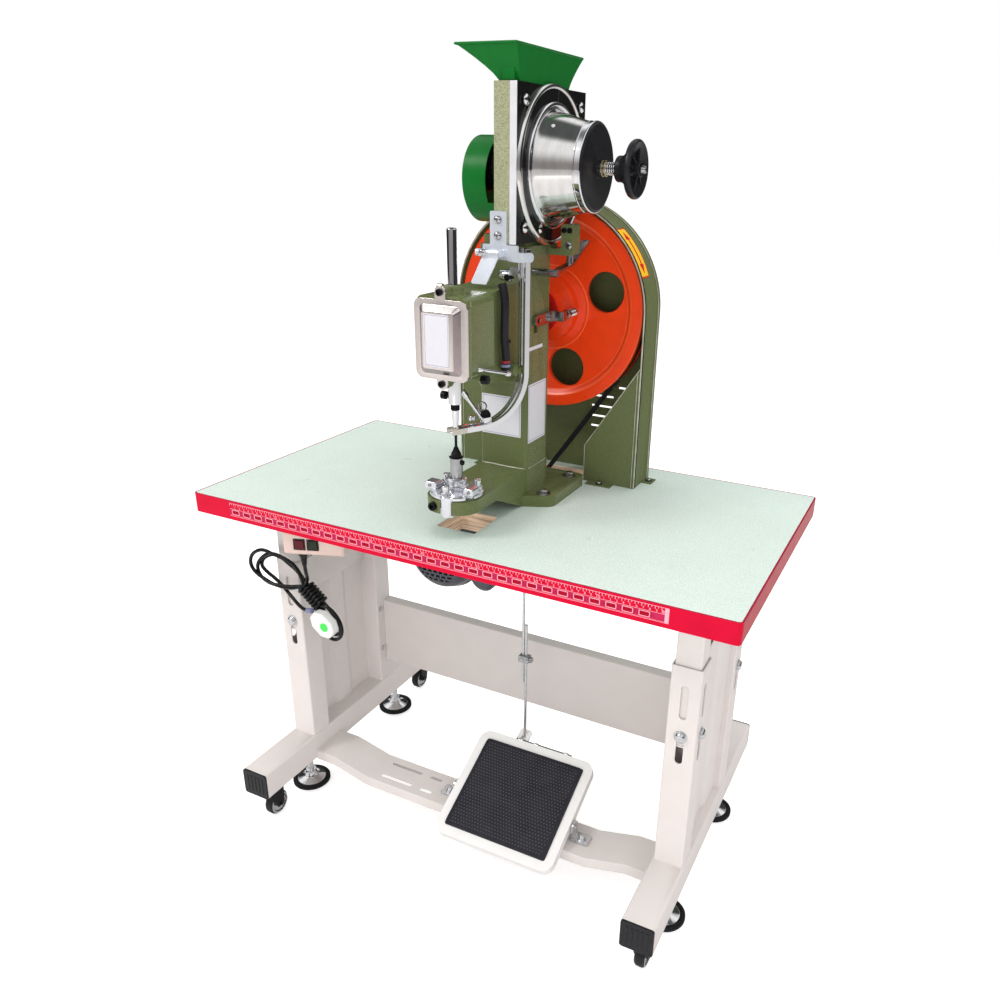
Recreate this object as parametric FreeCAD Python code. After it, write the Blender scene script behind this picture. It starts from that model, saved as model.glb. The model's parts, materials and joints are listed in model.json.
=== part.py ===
import FreeCAD, Part
import math
import os

# Foot-switched eyelet machine on its own stand.  Millimetres, +Z up.
# X = 0 and Y = 0 are the middle of the table, Z = 0 is the floor, -Y is the operator's side.

Vec = FreeCAD.Vector
AXES = {"x": Vec(1, 0, 0), "y": Vec(0, 1, 0), "z": Vec(0, 0, 1)}

# ---------------------------------------------------------------- fits
running_fit = 0.05          # radial, a shaft in its bearing
loose_fit = 0.3             # radial or side gap of loose moving pieces
body_gap = 0.3              # between pieces that move past each other

# ---------------------------------------------------------------- table
table_width = 1000.0
table_depth = 540.0
table_height = 690.0        # floor to work surface
table_thickness = 36.0
edge_band = 3.0
corner_radius = 8.0
cutout_x = (-38.0, 34.0)    # opening under the anvil arm
cutout_y = (-186.0, -107.0)
belt_slot_x = (-182.0, 82.0)
belt_slot_y = (144.0, 190.0)
rod_hole = 12.0             # radius of the hole that the pull rod rises through

table_under = table_height - table_thickness

# ---------------------------------------------------------------- stand
leg_inset = 98.0            # table's end to the middle of each leg frame
foot_width = 58.0
foot_height = 56.0
foot_length = 612.0
foot_clearance = 75.0       # floor to the underside of the foot tube
tube_wall = 2.5
cap_thickness = 4.0
cap_plug = 14.0
post_width = 52.0           # along X
post_depth = 50.0           # along Y
post_front = -161.0
post_rear = 123.0
lower_post_top = 530.0
upper_post_drop = 150.0     # length of upper post inside the lower one
post_slide_gap = 1.5        # between the two telescoping tubes, each side
slot_width = 13.0
slot_spans = ((346.0, 408.0), (433.0, 497.0))
clamp_bolt_z = 400.0
clamp_head = (9.0, 6.0)     # radius and height of the clamp bolts' heads
clamp_washer = 11.5
panel_thickness = 2.0
panel_offset = 13.0         # side panel, outward of the leg's middle
panel_rib = 6.0
top_rail_thickness = 9.0

beam_y = 97.0               # front face of the rear cross beam
beam_depth = 25.0
beam_span = (176.0, 332.0)
beam_wall = 2.5
beam_lip = 12.0
beam_screws = (214.0, 315.0)
beam_screw_radius = 2.5
beam_screw_inset = 12.0     # from the rear post's front edge

rail_y = (-162.0, -82.0)
rail_end_z = 95.0           # top of the foot rail at the feet
rail_mid_z = 75.0           # top of the foot rail at the pedal
rail_flange = 22.0
rail_wall = 2.5
rail_bend_inset = (128.0, 48.0)     # feet's inner faces to the start and end of each bend
rail_slots = ((-222.0, -148.0), (-128.0, -100.0))
rail_slot_half = 4.0
rail_slot_row = 20.0        # each side of the rail's middle

leg_x = table_width / 2 - leg_inset
foot_top = foot_clearance + foot_height
foot_inner_x = leg_x - foot_width / 2
rail_bend_x = [foot_inner_x - inset for inset in rail_bend_inset]
post_inner_x = leg_x - post_width / 2
upper_post_bottom = lower_post_top - upper_post_drop
post_rows = ((post_front, post_front + post_depth), (post_rear - post_depth, post_rear))

# ---------------------------------------------------------------- casters and levelling feet
caster_inset = 30.0         # foot tube's end to the caster's stem
caster_trail = 15.0
wheel_radius = 25.0
wheel_width = 19.0
axle_radius = 4.0
stem_radius = 5.5
fork_gap = 1.0
fork_plate = 3.0
pad_inset = 152.0           # foot tube's end to the levelling foot
pad_radius = 39.0
pad_lift = 3.0              # clear of the floor while the machine stands on its casters
pad_height = 15.0
pad_stem = 6.0
caster_y = foot_length / 2 - caster_inset
pad_y = foot_length / 2 - pad_inset

# ---------------------------------------------------------------- pedal and pull rods
pedal_centre_x = 77.5
pedal_width = 250.0
pedal_length = 227.0
pedal_tilt = 26.5
pedal_corner = 22.0
pedal_skirt = 18.0
pedal_wall = 4.0
pedal_hinge = (-122.0, 100.0)      # Y, Z of the hinge pins
pedal_hinge_drop = 16.0            # hinge below the tread
pedal_front = 103.0                # hinge to front edge along the tread
cheek_spread = 36.0                # half length of the hinge cheeks at the tread
cheek_thickness = 14.0
bracket_half = 14.0                # half length of the hinge brackets
bracket_ear = 11.0                 # radius of an ear round its pin
bracket_plate = 4.0
bracket_reach = 34.0
bracket_gap = 2.0                  # pedal's side to the ear
mat_border = 18.0
mat_thickness = 3.5
mat_recess = 1.5
pin_radius = 4.0
rod_radius = 2.75
rod_x = 34.0
rod_y = 0.0
rod_pitch = 6.2                    # between the two rods at the clamp
lower_rod = (165.0, 428.0)         # foot flange, top end
upper_rod_bottom = 296.0
clamp_z = 352.0
rod_travel = 15.0

# ---------------------------------------------------------------- drive under the table
motor_x = -136.0
motor_drop = 137.0                 # shaft below the work surface
motor_radius = 76.0
motor_span = (-50.0, 118.0)
motor_shaft = 7.0
pulley_radius = 36.0
pulley_root = 24.8
belt_y = 165.0
belt_width = 9.0
belt_thickness = 8.0
belt_gap = 0.6
capacitor_radius = 27.0
capacitor_angle = -16.0
hanger_width = 96.0

switch_corner = (-313.0, -257.0)   # front left corner of the switch box
switch_turn = 21.4                 # degrees, its face turned towards the operator
switch_length = 108.0
switch_depth = 50.0
switch_height = 50.0
switch_lip = 4.0                   # chamfer round the face
button_size = 16.0
button_proud = 3.0
button_depth = 8.0
button_travel = 3.0
button_drop = 29.0                 # table's underside to the buttons' middle
bezel_rim = 2.0
red_along = 30.0                   # middle of each button along the face
green_along = 54.0
gland_x = -305.0
gland_y = -217.0
gland_length = 20.0
switch_z = table_under - switch_height
cord_diameter = 7.0

# ---------------------------------------------------------------- machine casting, heights above the table
column_half = 46.0
column_y = (-27.0, 54.0)
column_top = 436.0
arm_half = 45.0
arm_top = 64.0
arm_under = 42.0
arm_tip_radius = 44.0
arch_start_y = -131.0
arch_end_y = -42.0
cavity_half = 40.0
cavity_y = (-19.0, 46.0)
cavity_top = 284.0
foot_plate_half = 95.0
foot_plate_y = (-42.0, 119.0)
foot_plate_thickness = 20.0
foot_bolts = ((73.0, -12.0), (73.0, 95.0))
neck_half = 38.0
neck_z = (226.0, 384.0)
head_half = 43.5
head_y = (-214.0, -136.0)
head_z = (258.0, 378.0)
head_wall = 10.0
head_corner = 12.0
cover_flange = 4.0
cover_rise = 9.0
cover_screw_z = (250.0, 384.0)

# ---------------------------------------------------------------- ram and dies
punch_y = -182.0
ram_radius = 7.5
ram_foot_radius = 10.5
ram_top = 470.0
ram_bottom = 212.0
ram_block = (20.0, 13.0, 300.0, 346.0)   # half width, half depth, bottom, top
punch_collar = 6.3
punch_collar_height = 10.5
punch_tip = 174.5
punch_bore = 3.4
punch_tube = (5.4, 4.6)       # outer radius at the seat and at the tip
punch_bore_depth = 20.0
die_post_radius = 10.0
die_post_z = (35.0, 124.0)
die_cone_top = 142.0
die_pin_top = 162.0
die_pin_radius = 2.2
plate_radius = 44.0

# ---------------------------------------------------------------- crankshaft and flywheel
shaft_z = 316.0
shaft_radius = 13.0
crank_disc = 26.0
crank_throw = 14.0
crank_pin = 6.0
crank_gap = 1.0                   # crank pin's end to the ram's block
shaft_collar = (30.0, 18.0)       # radius and length in front of the flywheel
shaft_nut = (18.0, 7.0)
shaft_rear = 200.0
wheel_rim = 181.0                 # flywheel radius
rim_y = (142.0, 188.0)
web_y = (150.0, 160.0)
rim_inner = 157.0
hub_radius = 58.0
hub_y = (104.0, 196.0)
hole_radius = 35.0
hole_circle = 112.0
hole_angle = 18.0

# ---------------------------------------------------------------- clutch trip lever
lever_pivot = (40.0, 318.0)       # Y, and height above the table
lever_x = (column_half + 2.0, column_half + 7.0)
lever_height = 18.0
rod_bore_radius = 6.0

# ---------------------------------------------------------------- flywheel guard
guard_half = 187.0
guard_y = (138.0, 214.0)
guard_wall = 2.0
guard_hem = (1.5, 10.0)           # how far the back plate laps the arch outside, and its width
guard_panel_top = 226.0
guard_panel_inner = 84.0
guard_panel_step = 70.0
tab_screw_radius = 2.0
louvre_rows = 5
louvre_pitch = 20.0
louvre_width = 44.0

# ---------------------------------------------------------------- hopper
hopper_y = 32.0
hopper_z = 552.5
casting_x = (15.0, 41.0)
face_x = (41.0, 53.0)
hopper_plate_y = (-85.0, 155.0)
hopper_plate_z = (443.0, 665.0)
ring_radius = 118.0
ring_band = 8.0                   # rounded outer band of the ring
race_inner = 92.0                 # inner edge of the flat raceway
bowl_base = 79.0
bowl_mouth = 64.0
mouth_band = 12.5
bowl_end_x = 131.0
spindle_radius = 6.0
spindle_x = (-66.0, 212.0)
drive_pulley = 40.0
pulley_cover = 66.0
cover_drop = 21.0                 # the cover's middle below the spindle
cover_x = (-72.0, 15.0)
knob_x = (165.0, 204.0)
knob_radius = 42.5
funnel_base_x = (16.0, 50.0)
funnel_base_y = (-70.0, 95.0)
funnel_rim_x = (-46.0, 55.0)
funnel_rim_y = (-92.0, 138.0)
funnel_height = 48.0
funnel_flare = 1.25               # 1 would give flat walls
sheet = 2.0
stay_arm = (92.0, 420.0, 468.0)   # reach in X, underside and top heights
stay_arm_y = (34.0, 64.0)
stay_arm_post = 20.0
stay_arm_thick = 10.0
stay_path = ((-22.0, 398.0), (52.0, 408.0), (112.0, 440.0))
stay_thickness = 4.0
stay_half = 7.0
stay_stud = 6.0

# ---------------------------------------------------------------- feed track
track_x = 60.0
track_y = -70.0
track_top = 437.0
track_bend = 80.0
track_width = 20.0
track_thickness = 9.0
track_tip_z = 168.5
track_overhang = 11.0
fork_half = 8.2
fork_seat = 16.0             # punch's axis back to the joint of the fork and the track
track_pivot_z = 425.0
track_hinge = 6.5
track_ear = 10.5             # half the width between the ears
pivot_radius = 3.0
bracket_z = (420.0, 442.0, 490.0) # underside, step and top of the track's bracket
bracket_screws = (478.0, 455.0)
latch_x = (3.0, 31.0)
latch_y = -97.0
latch_z = 430.0
latch_pin = 2.5
latch_length = 48.0
latch_lean = 16.0


# ================================================================ helpers
def z_of(height):
    """Height above the work surface as a height above the floor."""
    return table_height + height


def spot(plane, u, v):
    """A point of a drawing plane: xy, xz or yz."""
    if plane == "xy":
        return Vec(u, v, 0)
    if plane == "xz":
        return Vec(u, 0, v)
    return Vec(0, u, v)


def outline(plane, corners):
    """Closed wire through corners (u, v) or (u, v, radius)."""
    count = len(corners)
    joints = []
    for index in range(count):
        corner = corners[index]
        here = Vec(corner[0], corner[1], 0)
        radius = corner[2] if len(corner) > 2 else 0
        if radius <= 0:
            joints.append((here, None, here))
            continue
        before = corners[index - 1]
        after = corners[(index + 1) % count]
        to_before = (Vec(before[0], before[1], 0) - here).normalize()
        to_after = (Vec(after[0], after[1], 0) - here).normalize()
        half = to_before.getAngle(to_after) / 2
        reach = radius / math.tan(half)
        middle = (to_before + to_after).normalize()
        centre = here + middle * (radius / math.sin(half))
        joints.append((here + to_before * reach, centre - middle * radius, here + to_after * reach))
    edges = []
    for index in range(count):
        start, mid, end = joints[index]
        if mid is not None:
            edges.append(Part.Arc(*[spot(plane, p.x, p.y) for p in (start, mid, end)]).toShape())
        following = joints[(index + 1) % count][0]
        if (following - end).Length > 1e-6:
            edges.append(Part.LineSegment(spot(plane, end.x, end.y),
                                          spot(plane, following.x, following.y)).toShape())
    return Part.Wire(Part.__sortEdges__(edges))


def across(plane):
    """The direction square to a drawing plane."""
    return {"xy": AXES["z"], "xz": AXES["y"], "yz": AXES["x"]}[plane]


def prism(plane, corners, low, high):
    """An outline pushed from low to high, square to its plane."""
    face = Part.Face(outline(plane, corners))
    face.translate(across(plane) * low)
    return face.extrude(across(plane) * (high - low))


def rectangle(u, v, radius=0):
    """Corners of a rectangle from (low, high) pairs."""
    return [(u[0], v[0], radius), (u[1], v[0], radius), (u[1], v[1], radius), (u[0], v[1], radius)]


def box(x, y, z):
    """A box from (low, high) pairs."""
    return Part.makeBox(x[1] - x[0], y[1] - y[0], z[1] - z[0], Vec(x[0], y[0], z[0]))


def rod(axis, centre, radius, low, high):
    """A cylinder along an axis; centre gives the two other coordinates in X, Y, Z order."""
    if axis == "x":
        base = Vec(low, centre[0], centre[1])
    elif axis == "y":
        base = Vec(centre[0], low, centre[1])
    else:
        base = Vec(centre[0], centre[1], low)
    return Part.makeCylinder(radius, high - low, base, AXES[axis])


def turned(axis, centre, profile):
    """A solid of revolution; profile holds (radius, place along the axis)."""
    points = []
    for radius, along in profile:
        if axis == "x":
            points.append(Vec(along, centre[0], centre[1] + radius))
        elif axis == "y":
            points.append(Vec(centre[0] + radius, along, centre[1]))
        else:
            points.append(Vec(centre[0] + radius, centre[1], along))
    if axis == "x":
        origin = Vec(0, centre[0], centre[1])
    elif axis == "y":
        origin = Vec(centre[0], 0, centre[1])
    else:
        origin = Vec(centre[0], centre[1], 0)
    face = Part.Face(Part.makePolygon(points + [points[0]]))
    return face.revolve(origin, AXES[axis], 360)


def around(value, half):
    """The pair (value - half, value + half)."""
    return (value - half, value + half)


def fuse(shapes):
    """One solid from pieces that overlap or share a face."""
    whole = shapes[0].multiFuse(shapes[1:]) if len(shapes) > 1 else shapes[0]
    return whole.removeSplitter()


def mirrored(shape):
    """The same piece on the other side of X = 0."""
    return shape.mirror(Vec(0, 0, 0), Vec(1, 0, 0))


def save(name, shape):
    """One STEP file per node."""
    solids = shape.Solids
    if len(solids) == 1:
        shape = solids[0]
    else:
        shape = Part.makeCompound(solids)
    if not shape.isValid():
        print("INVALID", name)
    shape.exportStep("parts/" + name + ".step")
    print("%-24s %2d solids %10.1f mm3" % (name, len(solids), shape.Volume))


# ================================================================ table
def table_top():
    half_x = table_width / 2 - edge_band
    half_y = table_depth / 2 - edge_band
    board = prism("xy", rectangle((-half_x, half_x), (-half_y, half_y), corner_radius - edge_band),
                  table_under, table_height)
    below = table_under - 1
    above = table_height + 1
    board = board.cut(prism("xy", rectangle(cutout_x, cutout_y, 3), below, above))
    board = board.cut(prism("xy", rectangle(belt_slot_x, belt_slot_y, 12), below, above))
    return board.cut(rod("z", (rod_x, rod_y), rod_hole, below, above))


def table_edge_band():
    half_x = table_width / 2
    half_y = table_depth / 2
    outer = rectangle((-half_x, half_x), (-half_y, half_y), corner_radius)
    inner = rectangle((edge_band - half_x, half_x - edge_band), (edge_band - half_y, half_y - edge_band),
                      corner_radius - edge_band)
    return prism("xy", outer, table_under, table_height).cut(
        prism("xy", inner, table_under - 1, table_height + 1))


# ================================================================ stand
def square_tube(plane, u, v, low, high, radius=4.0):
    """A rounded tube of the stand's wall thickness."""
    inner_u = (u[0] + tube_wall, u[1] - tube_wall)
    inner_v = (v[0] + tube_wall, v[1] - tube_wall)
    outer = prism(plane, rectangle(u, v, radius), low, high)
    return outer.cut(prism(plane, rectangle(inner_u, inner_v, radius - tube_wall), low - 1, high + 1))


def side_panel(y, z, x_middle):
    """Pressed sheet with one upright rib, drawn in plan."""
    half = panel_thickness / 2
    rib_middle = (y[0] + y[1]) / 2
    near = (x_middle - half, x_middle + half)
    wide = 34.0
    narrow = 20.0
    plan = [(near[0], y[0]), (near[1], y[0]), (near[1], rib_middle - wide, 2),
            (near[1] - panel_rib, rib_middle - narrow, 2), (near[1] - panel_rib, rib_middle + narrow, 2),
            (near[1], rib_middle + wide, 2), (near[1], y[1]), (near[0], y[1]),
            (near[0], rib_middle + wide, 2), (near[0] - panel_rib, rib_middle + narrow, 2),
            (near[0] - panel_rib, rib_middle - narrow, 2), (near[0], rib_middle - wide, 2)]
    return prism("xy", plan, z[0], z[1])


def beam_screw_y():
    """The beam's screws sit on the rear post's inner face, in front of the beam."""
    return post_rows[1][0] + beam_screw_inset


def lower_frame():
    """Foot tube, two posts and the side panel of the right leg, welded."""
    foot = square_tube("xz", around(leg_x, foot_width / 2), (foot_clearance, foot_top),
                       -foot_length / 2, foot_length / 2)
    pieces = [foot]
    for low, high in post_rows:
        post = square_tube("xy", around(leg_x, post_width / 2), (low, high), foot_top, lower_post_top, 3.5)
        pieces.append(post)
        stop_z = upper_post_bottom - body_gap
        pieces.append(box(around(leg_x, post_width / 2 - tube_wall), (low + tube_wall, high - tube_wall),
                          (stop_z - tube_wall, stop_z)))
    panel_y = (post_rows[0][1], post_rows[1][0])
    pieces.append(side_panel(panel_y, (foot_top, lower_post_top), leg_x + panel_offset))
    frame = fuse(pieces)
    for bottom, top in slot_spans:
        front_slot = rectangle(around(leg_x, slot_width / 2), (bottom, top), slot_width / 2 - 0.01)
        frame = frame.cut(prism("xz", front_slot, post_front - 1, post_front + tube_wall + 0.5))
        for low, high in post_rows:
            side_slot = rectangle(around((low + high) / 2, slot_width / 2), (bottom, top),
                                  slot_width / 2 - 0.01)
            face = leg_x + post_width / 2
            frame = frame.cut(prism("yz", side_slot, face - tube_wall - 0.5, face + 1))
    for z in beam_screws:
        frame = frame.cut(rod("x", (beam_screw_y(), z), beam_screw_radius, post_inner_x - 1,
                              post_inner_x + tube_wall))
    underside = (foot_clearance - 1, foot_clearance + tube_wall + 1)
    for side in (-1, 1):
        frame = frame.cut(rod("z", (leg_x, side * caster_y), stem_radius + running_fit, *underside))
        frame = frame.cut(rod("z", (leg_x, side * pad_y), pad_stem + running_fit, *underside))
    return frame


def upper_leg():
    """Inner posts, their top rail and the upper side panel of the right leg."""
    inset = tube_wall + post_slide_gap
    top = table_under - top_rail_thickness
    pieces = []
    for low, high in post_rows:
        pieces.append(square_tube("xy", around(leg_x, post_width / 2 - inset), (low + inset, high - inset),
                                  upper_post_bottom, top, 3.0))
    pieces.append(prism("xy", rectangle(around(leg_x, post_width / 2), (post_front - 4, post_rear + 4), 3),
                        top, table_under))
    panel_x = leg_x + panel_offset - panel_thickness - post_slide_gap - panel_rib
    panel_y = (post_rows[0][1] + post_slide_gap, post_rows[1][0] - post_slide_gap)
    wide_y = (post_rows[0][1] - inset - 1, post_rows[1][0] + inset + 1)
    half = panel_thickness / 2
    pieces.append(box(around(panel_x, half), panel_y, (upper_post_bottom + 60, lower_post_top + 6)))
    pieces.append(box(around(panel_x, half), wide_y, (lower_post_top + 5, top + 1)))
    return fuse(pieces)


def foot_end_caps():
    caps = []
    reach = foot_length / 2
    wall = tube_wall + 0.2
    for side_x in (-1, 1):
        for side_y in (-1, 1):
            plate_y = sorted((side_y * reach, side_y * (reach + cap_thickness)))
            plug_y = sorted((side_y * (reach - cap_plug), side_y * reach))
            centre = side_x * leg_x
            plate = prism("xz", rectangle(around(centre, foot_width / 2), (foot_clearance, foot_top), 5),
                          *plate_y)
            plug = prism("xz", rectangle(around(centre, foot_width / 2 - wall),
                                         (foot_clearance + wall, foot_top - wall), 1.2), *plug_y)
            caps.append(fuse([plate, plug]))
    return Part.makeCompound(caps)


def screw(axis, centre, seat, outward, head, head_height, shank, shank_length, washer=0.0):
    """A screw whose head seats at 'seat' and points along outward (+1 or -1)."""
    washer_height = 1.6 if washer else 0.0
    head_start = seat + outward * washer_height
    dome = head_start + outward * head_height
    profile = [(0, seat - outward * shank_length), (shank, seat - outward * shank_length), (shank, seat)]
    if washer:
        profile += [(washer, seat), (washer, head_start)]
    else:
        profile += [(head, seat)]
    profile += [(head, head_start), (head, head_start + outward * head_height * 0.55),
                (head * 0.72, dome), (0, dome)]
    return turned(axis, centre, profile)


def stand_bolts():
    """Height clamp bolts, and the screws that hold the beam to the posts."""
    bolts = []
    shank = slot_width / 2 - 0.6
    reach = tube_wall + post_slide_gap - body_gap
    for side in (-1, 1):
        bolts.append(screw("y", (side * leg_x, clamp_bolt_z), post_front, -1, *clamp_head, shank, reach,
                           clamp_washer))
        for low, high in post_rows:
            bolts.append(screw("x", ((low + high) / 2, clamp_bolt_z), side * (leg_x + post_width / 2), side,
                               *clamp_head, shank, reach, clamp_washer))
        for z in beam_screws:
            inner = side * post_inner_x
            bolts.append(screw("x", (beam_screw_y(), z), inner, -side, 4.5, 3.5, beam_screw_radius,
                               tube_wall, 6.5))
    return Part.makeCompound(bolts)


def rear_beam():
    back = beam_y + beam_depth
    low, high = beam_span
    wall = beam_wall
    section = [(beam_y, low, 3), (back, low), (back, low + beam_lip), (back - wall, low + beam_lip),
               (back - wall, low + wall), (beam_y + wall, low + wall), (beam_y + wall, high - wall),
               (back - wall, high - wall), (back - wall, high - beam_lip), (back, high - beam_lip),
               (back, high), (beam_y, high, 3)]
    return prism("yz", section, -post_inner_x, post_inner_x)


def foot_rail():
    """Down-facing channel whose middle is set lower than its ends."""
    inner, outer = rail_bend_x
    end = foot_inner_x

    def band(depth, top_drop):
        upper = [(-end, rail_end_z - top_drop), (-outer, rail_end_z - top_drop, 20),
                 (-inner, rail_mid_z - top_drop, 20), (inner, rail_mid_z - top_drop, 20),
                 (outer, rail_end_z - top_drop, 20), (end, rail_end_z - top_drop)]
        lower = [(x, z - depth, *r) for x, z, *r in reversed(upper)]
        return upper + lower

    web = prism("xz", band(rail_wall, 0), rail_y[0], rail_y[1])
    front = prism("xz", band(rail_flange, 0), rail_y[0], rail_y[0] + rail_wall)
    rear = prism("xz", band(rail_flange, 0), rail_y[1] - rail_wall, rail_y[1])
    rail = fuse([web, front, rear])
    middle_y = (rail_y[0] + rail_y[1]) / 2
    for x in rail_slots:
        for y in around(middle_y, rail_slot_row):
            slot = rectangle(x, around(y, rail_slot_half), rail_slot_half - 0.1)
            rail = rail.cut(prism("xy", slot, rail_mid_z - 10, rail_mid_z + 1))
    return rail


# ================================================================ casters and feet
def caster_fork(x, y):
    trail = caster_trail if y < 0 else -caster_trail
    axle_y = y + trail
    top = foot_clearance - body_gap
    cheek_x = wheel_width / 2 + fork_gap
    pieces = [rod("z", (x, y), stem_radius, top, foot_clearance + 20),
              turned("z", (x, y), [(0, top), (14, top), (20, top - 4), (20, top - 10), (0, top - 10)])]
    crown_y = sorted((y - math.copysign(17, trail), axle_y + math.copysign(15, trail)))
    crown = prism("xy", rectangle(around(x, cheek_x + fork_plate), crown_y, 9), top - 14, top - 9)
    pieces.append(crown)
    for side in (-1, 1):
        near = sorted((x + side * cheek_x, x + side * (cheek_x + fork_plate)))
        cheek = [(crown_y[0] + 4, top - 12), (crown_y[1] - 4, top - 12),
                 (axle_y + 9, wheel_radius - 5, 6), (axle_y - 9, wheel_radius - 5, 6)]
        pieces.append(prism("yz", cheek, *near))
    pieces.append(rod("x", (axle_y, wheel_radius), axle_radius, x - cheek_x - fork_plate - 2,
                      x + cheek_x + fork_plate + 2))
    return fuse(pieces)


def caster_wheel(x, y):
    trail = caster_trail if y < 0 else -caster_trail
    half = wheel_width / 2
    bore = axle_radius + running_fit
    profile = [(bore, x - half), (9, x - half), (9, x - half + 2), (17, x - half + 2), (19, x - half),
               (wheel_radius - 3, x - half), (wheel_radius, x - half + 4), (wheel_radius, x + half - 4),
               (wheel_radius - 3, x + half), (19, x + half), (17, x + half - 2), (9, x + half - 2),
               (9, x + half), (bore, x + half)]
    return turned("x", (y + trail, wheel_radius), profile)


def levelling_foot(x, y):
    base = pad_lift
    profile = [(0, base), (pad_radius - 2, base), (pad_radius, base + 2), (pad_radius, base + 8),
               (pad_radius - 6, base + 10), (pad_radius - 10, base + 8), (pad_stem + 8, base + pad_height),
               (pad_stem + 5, base + pad_height + 8), (pad_stem + 5, base + pad_height + 14),
               (pad_stem, base + pad_height + 14), (pad_stem, foot_clearance + 32), (0, foot_clearance + 32)]
    return turned("z", (x, y), profile)


# ================================================================ pedal
def to_pedal(shape):
    """Moves a piece from the flat pedal's own frame, hinge at the origin, to its tilted place."""
    shape.rotate(Vec(0, 0, 0), AXES["x"], pedal_tilt)
    shape.translate(Vec(pedal_centre_x, pedal_hinge[0], pedal_hinge[1]))
    return shape


def pedal_sides(inset):
    half = pedal_width / 2 - inset
    rear = pedal_length - pedal_front - inset
    return rectangle((-half, half), (inset - pedal_front, rear), max(pedal_corner - inset, 1.0))


def pedal_frame():
    tread = pedal_hinge_drop
    shell = prism("xy", pedal_sides(0), tread - pedal_skirt, tread)
    shell = shell.cut(prism("xy", pedal_sides(pedal_wall), tread - pedal_skirt - 1, tread - pedal_wall))
    shell = shell.cut(prism("xy", pedal_sides(mat_border), tread - mat_recess, tread + 1))
    pieces = [shell]
    edge = pedal_width / 2
    for side in (-1, 1):
        cheek_x = sorted((side * edge, side * (edge - cheek_thickness)))
        pieces.append(prism("yz", [(-cheek_spread, tread - 6), (cheek_spread, tread - 6), (9, -9, 8.9),
                                   (-9, -9, 8.9)], *cheek_x))
    rear = pedal_length - pedal_front
    eye_x = rod_x + rod_pitch / 2 - pedal_centre_x
    eye = prism("xy", rectangle(around(eye_x, 13), (rear - 2, rear + 28), 6), tread - 9, tread - 5)
    pieces.append(eye)
    frame = fuse(pieces)
    for side in (-1, 1):
        hole_x = sorted((side * (edge + 1), side * (edge - cheek_thickness + 2)))
        frame = frame.cut(rod("x", (0, 0), pin_radius + running_fit, *hole_x))
    frame = to_pedal(frame)
    low_x = rod_x + rod_pitch / 2
    slot = rectangle(around(low_x, 4.5), (rod_y - 13, rod_y + 4.5), 4.4)
    return frame.cut(prism("xy", slot, lower_rod[0] - 20, lower_rod[0] + 20))


def pedal_mat():
    tread = pedal_hinge_drop
    mat = prism("xy", pedal_sides(mat_border + 0.2), tread - mat_recess, tread + mat_thickness - mat_recess)
    return to_pedal(mat)


def pedal_brackets():
    """Two bolted ears on the foot rail with the hinge pins."""
    hinge_y, hinge_z = pedal_hinge
    pieces = []
    for side in (-1, 1):
        edge = pedal_centre_x + side * (pedal_width / 2 + bracket_gap)
        outer = edge + side * bracket_plate
        foot_end = edge + side * bracket_reach
        ear_top = hinge_z + bracket_ear
        ear = prism("yz", [(hinge_y - bracket_half, rail_mid_z), (hinge_y + bracket_half, rail_mid_z),
                           (hinge_y + bracket_ear, ear_top, bracket_ear - 1),
                           (hinge_y - bracket_ear, ear_top, bracket_ear - 1)], *sorted((edge, outer)))
        flange = prism("xy", rectangle(sorted((edge, foot_end)), around(hinge_y, bracket_half), 3),
                       rail_mid_z, rail_mid_z + bracket_plate)
        pin_end = edge - side * (bracket_gap + cheek_thickness - 4)
        pin = rod("x", (hinge_y, hinge_z), pin_radius, *sorted((pin_end, outer + side * 3)))
        bolt = screw("z", (edge + side * (bracket_plate + bracket_reach) / 2, hinge_y),
                     rail_mid_z + bracket_plate, 1, 7, 5, 4, bracket_plate - 1, 9)
        pieces.append(fuse([ear, flange, pin, bolt]))
    return Part.makeCompound(pieces)


def rod_clamp():
    low_x = rod_x + rod_pitch / 2
    high_x = rod_x - rod_pitch / 2
    body = prism("xz", rectangle((high_x - 8, low_x + 8), around(clamp_z, 7), 2), rod_y - 7, rod_y + 7)
    body = body.cut(rod("z", (low_x, rod_y), rod_radius, clamp_z - 9, clamp_z + 9))
    body = body.cut(rod("z", (high_x, rod_y), rod_radius + loose_fit, clamp_z - 9, clamp_z + 9))
    thumb = screw("x", (rod_y, clamp_z), low_x + 8, 1, 6, 6, 2.5, 2, 0)
    return fuse([body, thumb])


def lower_pull_rod():
    x = rod_x + rod_pitch / 2
    hook_z = lower_rod[0]
    stem = rod("z", (x, rod_y), rod_radius, hook_z, lower_rod[1])
    foot = turned("z", (x, rod_y), [(0, hook_z - 4), (7, hook_z - 4), (7, hook_z), (0, hook_z)])
    return fuse([stem, foot])


def upper_pull_rod():
    x = rod_x - rod_pitch / 2
    z_top = z_of(lever_pivot[1])
    stem = rod("z", (x, rod_y), rod_radius, upper_rod_bottom, z_top)
    hook = rod("x", (rod_y, z_top), rod_radius, x, column_half + 9)
    return fuse([stem, hook])


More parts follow.
